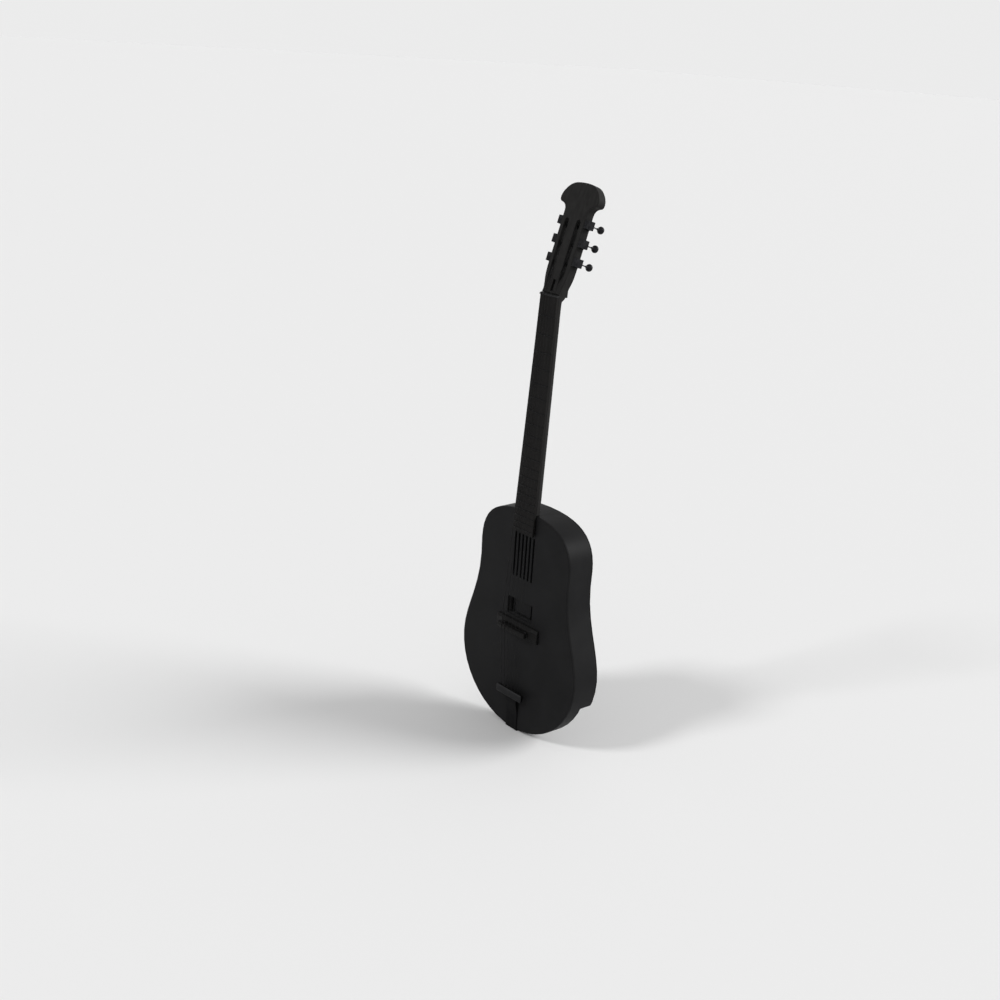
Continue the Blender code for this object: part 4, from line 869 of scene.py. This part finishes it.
coil_wire = finish("wound_bobbin", ((0.006, 0.005, 0.005), (0.03, 0.014, 0.010)), 0.0015, (0.4, 0.6),
                   stretch=(0.05, 1, 0.05), grit=0.0002, depth=0.00003)
fitted(eased(copied("pickup_bobbin", "bobbin"), 0.3 * MM), "pickup_bobbin", "pickup", coil_wire)
plate = eased(copied("pickup_baseplate", "bent_plate"), 0.2 * MM)
fitted(plate, "pickup_baseplate", "pickup", dark_steel)

pattern = turned("height_screw", PICKUP_SCREW + threaded(*PICKUP_SCREW_THREAD) + PICKUP_SCREW_TIP, 24)
slotted(pattern, *PICKUP_SCREW_SLOT, crossed=False)
for name, side in (("left", -1), ("right", 1)):
    seat = body_place @ Matrix.Translation((side * SCREW_ACROSS, 0, PICKUP_UP)) @ along_y
    fitted(twin(pattern, f"{name}_height_screw"), f"pickup_screw_{name}", f"pickup_screw_{name}",
           dark_steel, seat)
bpy.data.objects.remove(pattern)

foam_grey = finish("grey_foam", ((0.035, 0.035, 0.038), (0.075, 0.075, 0.08)), 0.0012, (0.9, 1.0),
                   specular=0.1, grit=0.0005, depth=0.0002)
foam = block(FOAM_MIDDLE, FOAM_SIDES)
foam.name = "foam_pad"
eased(foam, 0.7 * MM, segments=3)
picked(foam, points=lambda corner: True)
bpy.ops.mesh.subdivide(number_cuts=FOAM_CUTS)
outwards(foam)
pores = bpy.data.textures.new("foam_pores", "CLOUDS")
pores.noise_scale = PORE_SIZE
rough = foam.modifiers.new("open_cells", "DISPLACE")
rough.texture = pores
rough.texture_coords = "GLOBAL"
rough.strength = PORE_DEPTH
bpy.ops.object.modifier_apply(modifier=rough.name)
fitted(foam, "pickup_foam", "guitar", foam_grey, body_place, angle=70)


# Output jack. A steel socket in a threaded sleeve stands out of the ledge at the back and is held by
# a chamfered six-sided nut.
JACK_AT = (70 * MM, 45 * MM, 0)
JACK_PROFILE = ((3.3, 119), (3.3, 89.4), (3.6, 89), (4.2, 89))
JACK_THREAD = (4.6, 89.4, 97.0)
JACK_BODY = ((4.5, 97.3), (6.8, 97.3), (7, 97.6), (7, 118.6), (6.7, 119))
JACK_NUT_MIDDLE = 92.45 * MM
JACK_NUT_RADIUS = 7.2 * MM
JACK_NUT_HEIGHT = 2.5 * MM
JACK_NUT_BORE = 4.85 * MM
JACK_NUT_LENS = ((0, 91.1), (6.2, 91.1), (7.4, 91.9), (7.4, 93.0), (6.2, 93.8), (0, 93.8))

jack_place = body_place @ Matrix.Translation(JACK_AT)
jack = turned("jack_socket", JACK_PROFILE + threaded(*JACK_THREAD) + JACK_BODY, closed=True)
fitted(jack, "output_jack", "guitar", dark_steel, jack_place)
bpy.ops.mesh.primitive_cylinder_add(
    vertices=6, radius=JACK_NUT_RADIUS, depth=JACK_NUT_HEIGHT, location=(0, 0, JACK_NUT_MIDDLE))
jack_nut = bpy.context.active_object
jack_nut.name = "six_sided_nut"
ends = [(0, 0, JACK_NUT_MIDDLE + way * JACK_NUT_HEIGHT) for way in (-1, 1)]
carved(jack_nut, pin(*ends, JACK_NUT_BORE, 32))
carved(jack_nut, turned("chamfer", JACK_NUT_LENS, 48), keep="INTERSECT")
eased(jack_nut, 0.15 * MM, angle=25)
fitted(jack_nut, "jack_nut", "guitar", dark_steel, jack_place, angle=25)


# Strap buttons. One on the ledge and one behind the neck's block: a turned black button on a wood
# screw with a crossed slot.
BUTTON_TURNING = ((2.15, 0.3), (6.0, 0.3), (6.3, 0.6), (5.6, 1.6), (4.2, 2.9), (3.25, 4.6), (3.1, 6.4),
                  (3.3, 8.1), (4.6, 9.4), (6.2, 10.4), (6.9, 11.2), (6.9, 11.9), (6.2, 12.75), (4.6, 13.0),
                  (3.6, 12.95), (3.2, 12.2), (2.15, 12.2))
BUTTON_SCREW = ((0, 12.9), (1.6, 12.85), (2.6, 12.6), (3.05, 12.25), (2.0, 12.2))
WOOD_THREAD = (2.0, 12.0, -13, 1.0, 0.35)
WOOD_TIP = ((0.4, -15), (0, -15))
BUTTON_CROSS = (12.9 * MM, 4 * MM, 0.7 * MM, 1.6 * MM)
TAIL_BUTTON_AT = (0, 45 * MM, 94 * MM)
NECK_BUTTON_AT = (0, 60 * MM, 423 * MM)

button = rounded(turned("strap_button", BUTTON_TURNING, closed=True))
screw = turned("button_screw", BUTTON_SCREW + threaded(*WOOD_THREAD) + WOOD_TIP, 24)
slotted(screw, *BUTTON_CROSS)
for end, seat in (("tail", Matrix.Translation(TAIL_BUTTON_AT) @ Matrix.Rotation(pi, 4, "X")),
                  ("neck", Matrix.Translation(NECK_BUTTON_AT) @ along_y)):
    fitted(twin(button, f"{end}_button"), f"strap_button_{end}", "guitar", black_metal,
           body_place @ seat, angle=50)
    fitted(twin(screw, f"{end}_button_screw"), None, "guitar", dark_steel, body_place @ seat)
for pattern in (button, screw):
    bpy.data.objects.remove(pattern)
